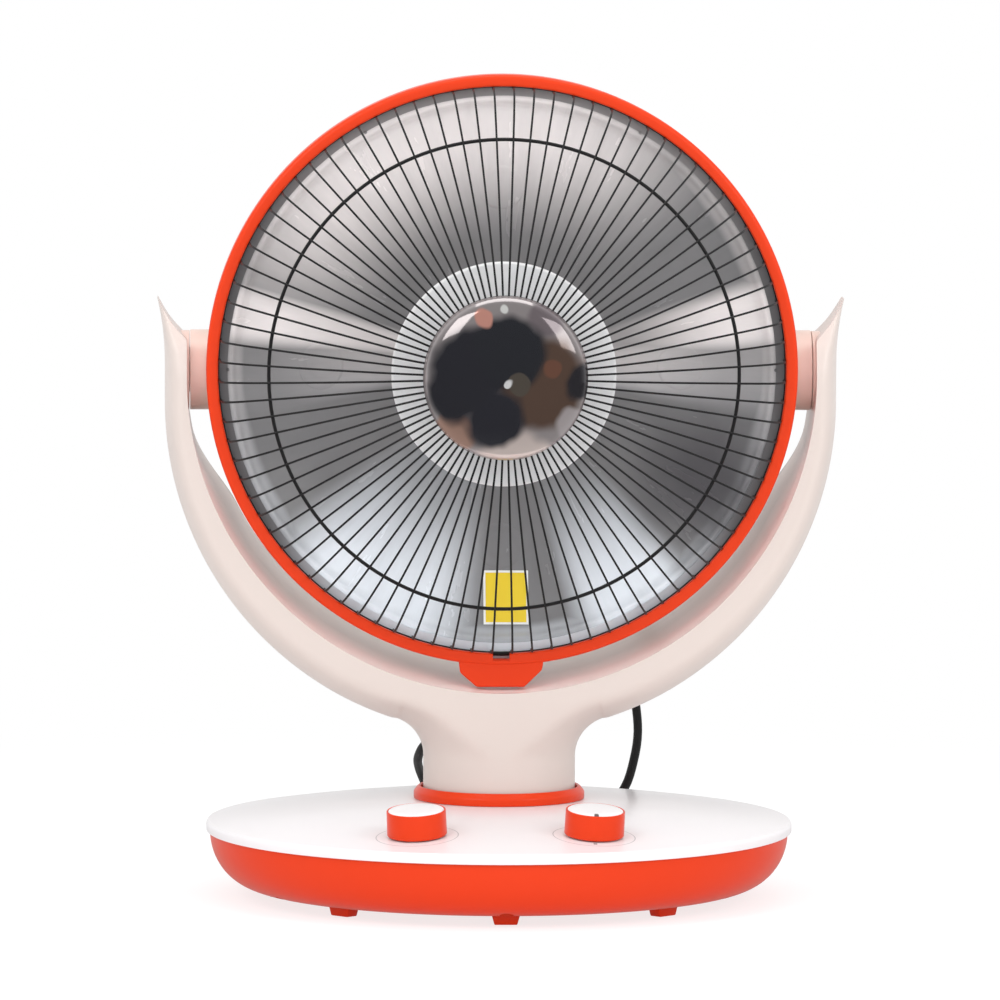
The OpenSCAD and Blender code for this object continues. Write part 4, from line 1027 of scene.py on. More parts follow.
class Paint:
    """The finishes of the heater."""

    ORANGE = Finish("Orange gloss plastic", (0.76, 0.041, 0.002), 0.32, coat=0.02, wave=0.2, smudge=0.04,
                    specular=0.2)
    WHITE = PrintedFinish("White gloss cover", (0.875, 0.845, 0.85), 0.3, coat=0.12, wave=0.12, grain=0.02,
                          smudge=0.03, specular=0.4)
    INSET = Finish("White knob disc", (0.93, 0.91, 0.9), 0.3, smudge=0.03)
    # cream yoke, with painted light on the inner wall of its bow
    CREAM = BowFinishWithPaintedLight("Cream plastic", (0.7, 0.605, 0.555), 0.34, coat=0.06, smudge=0.05, specular=0.4,
                      seam=True)
    BACK = Finish("Cream back plastic", (0.7, 0.61, 0.56), 0.36, coat=0.05, wave=0.3, specular=0.4)
    # lighter, warmer copy of the cream: painted light and painted orange bounce on the pads and bosses, which
    # sit in shade
    PIVOT_LIT = Finish("Cream pivot plastic with painted light", (0.84, 0.64, 0.56), 0.34, coat=0.05, wave=0.2, smudge=0.05,
                   specular=0.4)
    INK = Finish("Grey ink", (0.12, 0.09, 0.085), 0.5)
    WIRE = Finish("Dark wire enamel", (0.008, 0.0075, 0.008), 0.42, wave=0.1, grain=0.1, specular=0.3)
    BLACK = Finish("Black rubber", (0.012, 0.012, 0.013), 0.55, grain=0.3, grain_scale=1500.0, smudge=0.1)
    LEAD = Finish("Black lead jacket", (0.006, 0.006, 0.006), 0.5, grain=0.2, grain_scale=1800.0, smudge=0.1,
                  specular=0.25)
    DARK = Finish("Dark painted steel", (0.055, 0.055, 0.058), 0.5, grain=0.4, grain_scale=1400.0)
    STEEL = Finish("Zinc plated steel", (0.56, 0.57, 0.58), 0.34, metallic=1.0, grain=0.2, smudge=0.16,
                   tone=0.14)
    BRASS = Finish("Brass", (0.72, 0.52, 0.2), 0.3, metallic=1.0, smudge=0.12, tone=0.1)
    # chrome cap: its brown-grey base and every patch are painted reflections of the room, dark blots, warm
    # patches and white highlights
    CHROME = TurnedFinish(
        "Chrome", (0.3, 0.27, 0.27), 0.08, metallic=0.5, coat=0.5, bump=0.0002, ring=0.02, streak=0.04,
        reflection_patches=(
            ReflectionPatch(19, -3, 31, (0.115, 0.072, 0.054)), ReflectionPatch(8, -54, 28, (0.62, 0.53, 0.49)),
            ReflectionPatch(-29, -29, 13, (0.36, 0.22, 0.17)), ReflectionPatch(39, -27, 12, (0.42, 0.38, 0.38)),
            ReflectionPatch(22, 37, 14, (0.19, 0.16, 0.17)), ReflectionPatch(-20, 5, 28, (0.031, 0.031, 0.038)),
            ReflectionPatch(2, 17, 24, (0.031, 0.032, 0.038)), ReflectionPatch(-6, -22, 20, (0.032, 0.032, 0.04)),
            ReflectionPatch(-27, -8, 20, (0.031, 0.031, 0.038)), ReflectionPatch(43, -3, 12, (0.033, 0.031, 0.036)),
            ReflectionPatch(27.5, 6, 6, (0.18, 0.085, 0.058)), ReflectionPatch(-12.5, 36, 6, (0.62, 0.3, 0.24)),
            ReflectionPatch(-1, 40, 4, (0.75, 0.75, 0.72)), ReflectionPatch(6, -4.5, 6, (0.1, 0.085, 0.07)),
            ReflectionPatch(0, -4, 3, (0.8, 0.8, 0.8)),
        ),
    )
    SHADE = TurnedFinish("Bright shade", (0.97, 0.95, 0.96), 0.3, metallic=0.1, ring=0.1, streak=0.1)
    # spun dish: a dark base for its dark reflections, painted highlight fans, a painted bright rim and a
    # painted dark reflection at the lower right
    SPUN = TurnedFinish(
        "Spun aluminium", (0.24, 0.237, 0.24), 0.26, metallic=0.12, anisotropic=0.8, bump=0.0003, ring=0.35,
        streak=0.4,
        highlight_fans=(
            PaintedHighlightFan(12, 9, 0.25, 1.0), PaintedHighlightFan(168, 8, 0.7, 1.0), PaintedHighlightFan(0, 13, 0.55, 0.2), PaintedHighlightFan(180, 13, 0.36, 0.06),
            PaintedHighlightFan(105, 70, 0.0, 1.0), PaintedHighlightFan(240, 27, 0.2, 1.0), PaintedHighlightFan(300, 16, 0.1, 1.0),
        ),
        reflection_patches=(ReflectionPatch(120, -66, 64, (0.11, 0.105, 0.112), 0.1),),
    )
    # baffle ring: a dark base with painted highlights, faint at the top and strong at the bottom
    EDGE = TurnedFinish(
        "Turned rim", (0.2, 0.2, 0.205), 0.3, metallic=0.3, anisotropic=0.6, bump=0.0002,
        highlight_fans=(PaintedHighlightFan(90, 70, 0.25, 0.25), PaintedHighlightFan(270, 60, 0.95, 0.95)), rim=0.0,
    )
    CERAMIC = Finish("Ceramic", (0.78, 0.74, 0.66), 0.6, grain=0.5, grain_scale=1200.0, smudge=0.1)
    NYLON = Finish("Nylon", (0.72, 0.7, 0.64), 0.5, grain=0.2)
    CARBON = Finish("Carbon ribbon", (0.02, 0.02, 0.02), 0.6, grain=0.6, grain_scale=2400.0)
    QUARTZ = ClearFinish("Clear quartz", (0.96, 0.97, 1.0), 0.02)
    YELLOW = Finish("Yellow sticker", (0.86, 0.62, 0.02), 0.38, wave=0.1, smudge=0.05)
    PALE = Finish("White sticker border", (0.85, 0.85, 0.83), 0.4, wave=0.1)


def paint(piece: Piece, finish: Finish) -> None:
    """Gives a piece one finish all over."""
    piece.data.materials.clear()
    piece.data.materials.append(finish.build())


@dataclass
class Assembly:
    """A group of pieces that ride on one body."""

    body: str
    pieces: list[Piece] = field(default_factory=list)

    def keep(self, piece: Piece, finish: Finish, slot: str, *nodes: str) -> Piece:
        """Dresses a finished piece and hangs it on its body.

        Args:
            piece: the piece.
            finish: its finish.
            slot: the material slot it stands for; not used.
            *nodes: the frame's nodes that it replaces.

        Returns:
            The piece.
        """
        paint(piece, finish)
        if nodes:
            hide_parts(*nodes)
        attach(piece, self.body)
        self.pieces.append(piece)
        LOG.info("%s: %d faces, rides on %s", piece.name, len(piece.data.polygons), self.body)
        return piece

    def dress(self, **finishes: Finish) -> None:
        """Gives the frame's own nodes better finishes.

        Args:
            **finishes: each node's finish, by the node's name.
        """
        for node, finish in finishes.items():
            paint(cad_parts[node], finish)
            LOG.info("%s: frame node, %s", node, finish.name)


@dataclass
class Studio:
    """Camera, lamps, floor and surroundings, in metres and degrees."""

    distance: float = 5.5
    height: float = 0.7
    turn: float = 1.8
    aim: Point = (0, 0, 0.2342)
    roll: float = 0.2
    width: float = 0.588
    sensor: float = 36.0
    floor_r: float = 2.6
    floor_inner_r: float = 1.0
    floor_gap: float = 0.00005
    fade_from: float = 0.25
    fade_to: float = 0.9

    @staticmethod
    def facing(place: Point, aim: Point) -> Matrix:
        """Where a camera or a lamp stands so that it faces a point, both in metres."""
        look = (Vector(aim) - Vector(place)).to_track_quat("-Z", "Y").to_matrix().to_4x4()
        return Matrix.Translation(Vector(place)) @ look

    def camera(self) -> None:
        """Places the camera at the photograph's viewpoint."""
        turn = math.radians(self.turn)
        place = Vector((-self.distance * math.sin(turn), -self.distance * math.cos(turn), self.height))
        view = bpy.data.cameras.new("camera")
        view.sensor_width = self.sensor
        view.lens = self.sensor * (place - Vector(self.aim)).length / self.width
        view.clip_end = 200
        eye = bpy.data.objects.new("camera", view)
        bpy.context.scene.collection.objects.link(eye)
        eye.matrix_world = self.facing(place, self.aim) @ Matrix.Rotation(math.radians(self.roll), 4, "Z")
        bpy.context.scene.camera = eye

    def lamp(self, name: str, place: Point, aim: Point, size: tuple[float, float], power: float,
             color: Color = WHITE) -> None:
        """Adds a soft box.

        Args:
            name: its name.
            place: where it stands, in metres.
            aim: the point it faces.
            size: its width and height, in metres.
            power: its power, in watts.
            color: its colour.
        """
        light = bpy.data.lights.new(name, "AREA")
        light.shape = "RECTANGLE"
        light.size, light.size_y = size
        light.energy = power
        light.color = color
        box = bpy.data.objects.new(name, light)
        bpy.context.scene.collection.objects.link(box)
        box.matrix_world = self.facing(place, aim)

    def world(self) -> None:
        """Sets the white background and a plain room round the object."""
        world = bpy.data.worlds.new("studio")
        bpy.context.scene.world = world
        s = Shader.of(world)
        y = s.cut(s.add("ShaderNodeTexCoord").outputs["Generated"])[1]
        plain = s.add("ShaderNodeBackground", Color=(0.97, 0.98, 1.0),
                      Strength=s.spread(y, -1.0, 0.5, 1.3, 0.45))
        room = s.add("ShaderNodeBackground", Color=WHITE, Strength=s.spread(y, -0.6, 0.15, 0.05, 1.0))
        white = s.add("ShaderNodeBackground", Color=WHITE, Strength=1.0)
        seen, reflected = s.rays()
        lit = s.merge(reflected, plain, room)
        s.add("ShaderNodeOutputWorld", Surface=s.merge(seen, lit, white).outputs[0])

    def floor(self) -> None:
        """Lays a pale round floor that fades into the background."""
        Bench.clear()
        bpy.ops.mesh.primitive_circle_add(
            vertices=96, radius=self.floor_r, fill_type="NGON", location=(0, 0, -self.floor_gap),
        )
        ground = Bench.named("floor")
        Bench.settle()
        Bench.edit(ground)
        bpy.ops.mesh.inset(thickness=self.floor_r - self.floor_inner_r)
        bpy.ops.object.mode_set(mode="OBJECT")
        material = bpy.data.materials.new("Pale floor")
        s = Shader.of(material)
        x, y, _ = s.cut(s.spot())
        seen, reflected = s.rays()
        matte = s.add("ShaderNodeBsdfDiffuse", Color=s.mix(seen, (0.8, 0.8, 0.8), (0.3, 0.3, 0.3)))
        glow = s.add("ShaderNodeEmission", Color=WHITE,
                     Strength=s.math("ADD", s.math("MULTIPLY", seen, 0.56), 0.22))
        near = s.add("ShaderNodeAddShader")
        s.join(matte.outputs[0], near.inputs[0])
        s.join(glow.outputs[0], near.inputs[1])
        bright = s.add("ShaderNodeEmission", Color=WHITE, Strength=1.0)
        far = s.spread(s.away(x, y), self.fade_from, self.fade_to, 0.0, 1.0)
        faded = s.merge(s.math("MULTIPLY", far, seen), near, bright)
        shine = s.add("ShaderNodeEmission", Color=WHITE, Strength=s.spread(y, -0.7, 0.5, 0.06, 0.8))
        s.add("ShaderNodeOutputMaterial", Surface=s.merge(reflected, faded, shine).outputs[0])
        ground.data.materials.append(material)

    def build(self) -> None:
        """Builds the whole studio."""
        bpy.context.scene.view_settings.view_transform = "Standard"
        self.camera()
        self.world()
        self.floor()
        self.lamp("key box", (-1.3, -1.6, 1.7), (0, 0, 0.25), (1.0, 1.0), 12, (1.0, 0.99, 0.98))
        self.lamp("fill box", (1.5, -1.5, 1.3), (0, 0, 0.25), (1.0, 1.0), 9, (1.0, 0.99, 0.98))
        self.lamp("top box", (0, -0.2, 2.0), (0, 0, 0.2), (1.4, 0.9), 10)


@dataclass
class Lead(Assembly):
    """The head's lead, from its back gland down behind the base and up to the neck."""

    body: str = "yoke"
    diameter: float = 5.5
    route: tuple[Point, ...] = (
        (26, 80, 279), (26, 88, 279), (27, 99, 277), (31, 115, 268), (39, 129, 250), (51, 137, 225),
        (64, 141, 195), (75, 143, 160), (82, 146, 128), (87, 150, 100), (89, 156, 80),
        (87, 164, 62), (82, 174, 44), (71, 184, 29), (53, 191, 18), (29, 194, 13),
        (4, 193, 14), (-16, 188, 21), (-30, 182, 32), (-38, 175, 44), (-42.5, 163, 54.5), (-44.5, 147, 62),
        (-44.5, 130, 68.5), (-42.5, 115, 75), (-37, 102, 82.5), (-28.5, 91.5, 90.5), (-18.5, 82.5, 97.5),
        (-9.5, 74, 103.3), (-3.8, 65.5, 106.9), (-0.9, 57.5, 108.4), (0, 49, 108.8),
    )

    def build(self) -> None:
        path = [Vector(p) * MM for p in smooth_line(self.route, 4)]
        lead = Bench.tube("head_lead_jacket", path, self.diameter / 2, 3)
        paint(lead, Paint.LEAD)
        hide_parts("head_lead")
        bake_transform(lead)
        self.pieces.append(lead)


def dome(r: float) -> float:
    """Height of the base's domed cover at a radius, both in mm."""
    return 59.5 - 14 * (r / 170) ** 2


@dataclass
class Base(Assembly):
    """The tray, cover, feet, collar and what shows of the works."""

    body: str = "base"
    rim: float = 172.5
    tray_rim: float = 170.3
    tray_flat: float = 140.0
    tray_top: float = 39.0
    foot: float = 6.0
    wall: float = 2.6
    floor_r: float = 70.0
    screw_r: float = 148.0
    screws_round: int = 6
    foot_r: float = 131.0
    feet_round: int = 8

    def tray(self) -> None:
        """Turns the orange tray and sinks its screw holes."""
        rx, rz = self.tray_rim - self.tray_flat, self.tray_top - self.foot
        outer = oval(self.tray_flat, self.tray_top, rx, rz, -90, 0, 24)
        inner = oval(self.tray_flat, self.tray_top, rx - self.wall, rz - self.wall, 0, -90, 16)
        top = self.foot + self.wall
        profile = [(0, self.foot), (self.floor_r, self.foot), *outer, *inner, (self.floor_r, top), (0, top)]
        tray = Bench.lathe("tray", profile, Axis.BASE, 144)
        tool = Bench.copies(Bench.post("sink", 4.3, 8.0, (0, self.screw_r, 6.5)), self.screws_round, Axis.BASE)
        Bench.carve(tray, tool)
        self.keep(tray, Paint.ORANGE, "orange_plastic", "base_shell")

    def cover(self) -> None:
        """Turns the white domed cover with its rounded rim."""
        crown = [(r, dome(r)) for r in (52, 60, 70, 85, 105, 125, 145, 160, 168)]
        profile = [(0, 56), (0, 58.5), (46, 58.5), *crown, *arc(self.rim - 3, 43, 3, 50, 0, 6),
                   (self.rim, 40.0), (172.3, 39.5), (171.6, 39.25), (169.2, 39.25), (168.6, 41.9),
                   (167.5, 42.6), (120, 49.5), (60, 56), (0, 56)]
        self.keep(Bench.lathe("cover", profile, Axis.BASE, 168), Paint.WHITE, "white_plastic", "base_top")

    def feet(self) -> None:
        """Shapes one foot block from a box and sets eight round the tray."""
        foot = Bench.box("feet_blocks", (16.5, 9, self.foot), (0, -self.foot_r, self.foot / 2))
        bpy.ops.object.mode_set(mode="EDIT")
        bpy.ops.mesh.select_mode(type="VERT")
        bpy.ops.mesh.select_all(action="DESELECT")
        bpy.ops.object.mode_set(mode="OBJECT")
        for v in foot.data.vertices:
            v.select = v.co.z < self.foot / 2 * MM
        bpy.ops.object.mode_set(mode="EDIT")
        bpy.ops.transform.resize(value=(0.8, 0.9, 1), center_override=(0, -self.foot_r * MM, 0))
        bpy.ops.object.mode_set(mode="OBJECT")
        Bench.rounded(foot, 0.6, 2, 30)
        self.keep(Bench.copies(foot, self.feet_round, Axis.BASE), Paint.ORANGE, "orange_plastic", "feet")

    def screws(self) -> None:
        """Turns one screw with a drive recess and sets six deep in the tray."""
        profile = [(0, 9.6), (1.3, 9.6), (1.5, 8.7), (3.1, 8.7), (3.5, 9.1), (3.5, 10.3), (1.7, 10.5),
                   (1.7, 38), (0, 38), (0, 9.6)]
        screw = Bench.lathe("base_screw_set", profile, Axis.BASE, 24)
        Bench.placed(screw, Matrix.Translation(Vector((0, self.screw_r, 0)) * MM))
        screws = Bench.copies(screw, self.screws_round, Axis.BASE)
        self.keep(screws, Paint.STEEL, "zinc_steel", "base_screws")

    def collar(self) -> None:
        """Turns the orange collar, one smooth flange that stands off the neck."""
        profile = [(45.6, 58.5), (50.1, 58.5), (50.3, 59.3), *arc(47.9, 61.6, 2.4, -8, 40, 6), (48.3, 64.9),
                   *arc(47.0, 64.8, 0.95, 40, 170, 7), (46.0, 63.6), (45.6, 58.5)]
        collar = Bench.lathe("collar", profile, Axis.BASE, 128, 45)
        self.keep(collar, Paint.ORANGE, "orange_plastic", "swivel_collar")

    def build(self) -> None:
        """Builds the base and dresses the nodes that stay."""
        self.tray()
        self.cover()
        self.feet()
        self.screws()
        self.collar()
        self.dress(
            ballast_plate=Paint.DARK, swivel_bush=Paint.NYLON, swing_motor=Paint.STEEL,
            motor_screws=Paint.STEEL, timer=Paint.INSET, power_switch=Paint.BLACK,
            tip_over_switch=Paint.BLACK, terminal_block=Paint.CERAMIC, mains_gland=Paint.BLACK,
        )


@dataclass
class Knob(Assembly):
    """A round knob with a thin rim, a domed white disc and a pointer."""

    label: str = "timer"
    side: int = -1
    radius: float = 17.3
    height: float = 15.0
    place_r: float = 135.0
    azimuth: float = 22.2
    lean: float = 7.4

    def seat(self) -> Matrix:
        """Where the knob sits on the domed cover.

        Returns:
            The matrix from the knob's own frame to the heater's.
        """
        turn = Matrix.Rotation(math.radians(self.azimuth * self.side), 4, "Z")
        place = Matrix.Translation(Vector((0, -self.place_r, dome(self.place_r) + 0.6)) * MM)
        return turn @ place @ Matrix.Rotation(math.radians(self.lean), 4, "X")

    def build(self) -> None:
        """Turns the knob and its disc, then sets them on the cover."""
        r, h = self.radius, self.height
        skirt = [(0, 2), (15.0, 2), (15.4, 0), (r - 0.5, 0), (r, 0.6), (r - 0.2, h - 0.9),
                 *arc(r - 0.7, h - 0.8, 0.5, 0, 100, 5), (r - 1.1, h - 0.6), (r - 1.2, h - 1.5), (0, h - 1.5)]
        knob = Bench.placed(Bench.lathe(self.label + "_knob_body", skirt, Axis.BASE, 72), self.seat())
        self.keep(knob, Paint.ORANGE, "orange_plastic", self.label + "_knob")
        disc = [(0, h - 1.5), (r - 1.3, h - 1.5), (r - 1.3, h - 0.5), (r - 1.9, h - 0.1), (r - 6, h + 0.2),
                (0, h + 0.4)]
        top = Bench.placed(Bench.lathe(self.label + "_knob_disc", disc, Axis.BASE, 64), self.seat())
        self.keep(top, Paint.INSET, "white_plastic", self.label + "_knob_inset")
        xy = ((-1.3, -16.7), (1.3, -16.7), (1.1, -13), (-1.1, -13))
        mark = Bench.plate(self.label + "_knob_pointer", [(x, y, h - 0.6) for x, y in xy], (0, 0, 1.1), 0.3)
        turn = self.seat() @ Matrix.Rotation(math.radians(-self.azimuth * self.side), 4, "Z")  # faces the front
        self.keep(Bench.placed(mark, turn), Paint.INK if self.side > 0 else Paint.INSET, "black_plastic")
        self.dress(**{self.label + "_spindle": Paint.BRASS})


@dataclass
class Yoke(Assembly):
    """Neck and arms, a hollow shell with a crowned back."""

    body: str = "yoke"
    out_r: float = 197.0
    out_z: float = 292.8
    in_r: float = 184.0
    in_z: float = 308.2
    neck: float = 44.7
    foot_z: float = 60.2
    flare_z: float = 83.4
    flare_r: float = 24.0
    edge: float = 6.0
    crown: float = 63.6
    lip: float = 10.5
    rows: int = 30

    def flank(self, z: float) -> float:
        """How far the arm's outer side stands from the middle at a height, both in mm."""
        return self.out_r + (4.4 * ((z - 316) / 37.6) ** 2 if z > 316 else 0.0)

    def outer(self) -> Pairs:
        """Right half of the outline from the foot of the neck to the arm's tip.

        Returns:
            Sideways place and height of each corner, mm.
        """
        tip = [(self.flank(z), z) for z in range(293, 354, 3)]
        wheel = arc(0, self.out_z, self.out_r, -71.9, 0, 60)
        flare = arc(self.neck + self.flare_r, self.flare_z, self.flare_r, 180, 110.5, 16)
        neck = [(0, self.foot_z), (self.neck, self.foot_z), (self.neck, self.flare_z)]
        return [*neck, *flare[1:], *wheel, *tip, (201.4, 353.6)]

    def inner(self) -> Pairs:
        """Right half of the opening from its lowest point to the arm's tip, which is cut slightly hollow.

        Returns:
            Sideways place and height of each corner, mm.
        """
        cut = []
        for t in (0, 0.2, 0.4, 0.6, 0.8, 1):
            hollow = math.sin(math.pi * t)
            cut.append((self.in_r + 17.2 * t + 1.3 * hollow, 330 + 23.8 * t - 0.95 * hollow))
        return [*arc(0, self.in_z, self.in_r, -90, 0, 90), (self.in_r, 311), *cut]

    @staticmethod
    def along(line: Profile, marks: Sequence[int], t: float) -> tuple[float, float]:
        """A point on a line, where whole numbers of t fall on the marked corners.

        Args:
            line: the corners.
            marks: corners that t counts.
            t: the place.

        Returns:
            The point.
        """
        k = min(int(t), len(marks) - 2)
        part = line[marks[k]: marks[k + 1] + 1]
        lengths = [0.0]
        for a, b in zip(part, part[1:]):
            lengths.append(lengths[-1] + math.dist(a, b))
        want = (t - k) * lengths[-1]
        for i in range(len(part) - 1):
            if want <= lengths[i + 1] or i == len(part) - 2:
                f = (want - lengths[i]) / max(lengths[i + 1] - lengths[i], 1e-9)
                (x0, y0), (x1, y1) = part[i], part[i + 1]
                return (x0 + (x1 - x0) * f, y0 + (y1 - y0) * f)
        return part[-1]

    @staticmethod
    def softer(a: float, b: float, k: float) -> float:
        """The smaller of two values, blended over k."""
        h = max(k - abs(a - b), 0.0) / k
        return min(a, b) - h * h * k * 0.25

    def inside(self, x: float, z: float) -> float:
        """Distance from a place to the nearest outline of neck, hollow curve or arm, mm.

        Args:
            x: sideways place, mm, not below 0.
            z: height, mm.

        Returns:
            The distance, 0 on the outline.
        """
        if z >= self.out_z:
            return self.flank(z) - x
        cx = self.neck + self.flare_r
        if x * (self.out_z - self.flare_z) >= cx * (self.out_z - z):
            return self.out_r - math.hypot(x, z - self.out_z)
        if z >= self.flare_z:
            return math.hypot(x - cx, z - self.flare_z) - self.flare_r
        return self.neck - x

    def half_depth(self, x: float, z: float) -> float:
        """How far the surface stands from the parting plane, mm.

        Args:
            x: sideways place, mm.
            z: height, mm.

        Returns:
            The half depth there.
        """
        x = abs(x)
        d = max(self.inside(x, z), 0.0)
        side = between(z, ((60, 44.85), (116, 44.75), (201, 37), (271, 34), (311, 34), (325, 30), (339, 22),
                           (355, 14)))
        arm = self.edge + math.sqrt(max(0.0, self.crown**2 - (self.crown - min(d, self.crown)) ** 2))
        neck = math.sqrt(max(0.0, self.neck**2 - (self.neck - min(d, self.neck)) ** 2))
        t = ease((z - self.flare_z) / 42)
        return max(0.35, self.softer(neck + (arm - neck) * t, side, 0.5 + 7 * t))

    def lipped(self, piece: Piece) -> Piece:
        """Raises the back edge of the bow's inner wall towards the head, below the arms.

        Args:
            piece: the closed shell.

        Returns:
            The shell.
        """
        for v in piece.data.vertices:
            x, z = v.co.x / MM, v.co.z / MM - self.in_z
            r = math.hypot(x, z)
            low = ease((math.degrees(math.atan2(-z, abs(x))) - 10) / 17)
            rise = self.lip * low * clamp((self.out_r - r) / (self.out_r - self.in_r))
            if v.co.y > 0 and rise > 0:
                v.co -= Vector((x / r, 0, z / r)) * rise * MM
        return piece

    def shell(self) -> Piece:
        """Shapes a grid into the front of the yoke, mirrors it and closes the edges.

        Returns:
            The shell.
        """
        outer, inner = self.outer(), self.inner()
        bend = outer.index((self.neck, self.flare_z))
        # corners of the two outlines that face one another, and the columns between each two of them
        marks_out = [0, 1, 2, bend + 16, bend + 17 + 30, len(outer) - 13, len(outer) - 1]
        marks_in = [0, 8, 13, 21, 46, len(inner) - 7, len(inner) - 1]
        shares = [26, 12, 22, 34, 36, 20]
        stops = [0.0]
        for k, n in enumerate(shares):
            stops += [k + (i + 1) / n for i in range(n)]
        count = 2 * len(stops) - 1
        Bench.clear()
        bpy.ops.mesh.primitive_grid_add(x_subdivisions=count - 1, y_subdivisions=self.rows - 1, size=2)
        piece = Bench.named("yoke_body")
        middle = len(stops) - 1
        for v in piece.data.vertices:
            i = round((v.co.x + 1) / 2 * (count - 1))
            w = (v.co.y + 1) / 2
            side = 1 if i >= middle else -1
            t = stops[abs(i - middle)]
            a, b = self.along(inner, marks_in, t), self.along(outer, marks_out, t)
            f = 1 - (1 - w) ** 2
            x, z = a[0] + (b[0] - a[0]) * f, a[1] + (b[1] - a[1]) * f
            v.co = Vector((side * x, -self.half_depth(x, z), z)) * MM
        Bench.edit(piece)
        bpy.ops.mesh.duplicate()
        bpy.ops.transform.resize(value=(1, -1, 1), center_override=(0, 0, 0))
        bpy.ops.mesh.select_all(action="DESELECT")
        bpy.ops.mesh.select_mode(type="EDGE")
        bpy.ops.mesh.select_non_manifold(extend=False)
        bpy.ops.mesh.bridge_edge_loops()
        return self.lipped(Bench.close(piece, 40))

    def pads(self) -> Piece:
        """Turns the two round pads inside the arms, and the rims of the pivot holes."""
        profile = [(5.3, 0), (22.8, 0), (23.1, 0.3), (23.1, 5), (5.3, 5), (5.3, 0)]
        return Bench.pair("yoke_pads", profile, 182.5, 1, 64)

    def build(self) -> None:
        """Builds the yoke and dresses the nodes that stay."""
        shell = Bench.rounded(self.shell(), 1.1, 3, 55)
        self.keep(shell, Paint.CREAM, "cream_plastic", "yoke_front", "yoke_rear")
        self.keep(self.pads(), Paint.PIVOT_LIT, "cream_plastic")
        self.dress(
            spigot=Paint.STEEL, spigot_screws=Paint.STEEL, swing_arm=Paint.STEEL, spigot_nut=Paint.BRASS,
            pivot_bushes=Paint.NYLON, yoke_screws=Paint.STEEL, neck_gland=Paint.BLACK,
        )


@dataclass
class Guard(Assembly):
    """The wire grille with its chrome cap and the shade behind it."""

    body: str = "head"
    wires: int = 88
    wire_r: float = 0.68

    def grille(self) -> None:
        """Bends one wire, sets the others round the axis and adds three rings."""
        route = [(164.8, 30.9), (164.8, 40), (164.4, 48.5), (161.8, 55.5), (156, 61.5), (147, 66.6),
                 (136.5, 71), (114, 79.8), (92.4, 86.9), (70, 92.4), (49.5, 95.7), (46.4, 96.1)]
        route = smooth_line(route, 2)
        half = math.pi / self.wires
        points = []
        for r, h in route:
            p = Axis.HEAD.at(r, h) - Axis.HEAD.centre
            points.append(Axis.HEAD.centre + Matrix.Rotation(half, 4, "Y") @ p)
        wire = Bench.copies(Bench.tube("wires", points, self.wire_r, 1), self.wires, Axis.HEAD)
        rings = []
        for name, r, h, thick in (
            ("rim", 166.4, 31.4, 1.3), ("stay", 136.5, 69.5, 1.05), ("hub", 46.4, 96.0, 1.3),
        ):
            rings.append(Bench.lathe(name, arc(r, h, thick, 0, 360, 10), Axis.HEAD, 2 * self.wires, 60))
        self.keep(Bench.joined("grille_wires", [wire, *rings]), Paint.WIRE, "wire_enamel", "grille")

    def cap(self) -> None:
        """Turns the domed chrome cap with its thin rolled rim."""
        outer, inner = oval(0, 97.6, 47.2, 12, 90, 0, 15), oval(0, 97.4, 46.2, 11.2, 12, 90, 13)
        profile = [*outer, (47.5, 97.2), (46.6, 96.8), (46.2, 97.6), *inner]
        self.keep(Bench.lathe("cap", profile, Axis.HEAD, 128, 50), Paint.CHROME, "chrome", "grille_cap")

    def shade(self) -> None:
        """Turns the bright round shade with its turned-down edge."""
        profile = [(6, 66.8), (63.2, 66.8), *arc(63.8, 65.2, 1.6, 90, 0, 5), (65.4, 62.8), (64.7, 62.8),
                   (64.6, 65), (63.6, 66), (6, 66), (6, 66.8)]
        self.keep(Bench.lathe("shade_disc", profile, Axis.HEAD, 128), Paint.SHADE, "chrome", "shade")

    def build(self) -> None:
        """Builds the guard and dresses the nodes that stay."""
        self.grille()
        self.cap()
        self.shade()
        self.dress(cap_clamp=Paint.STEEL, cap_screw=Paint.STEEL)


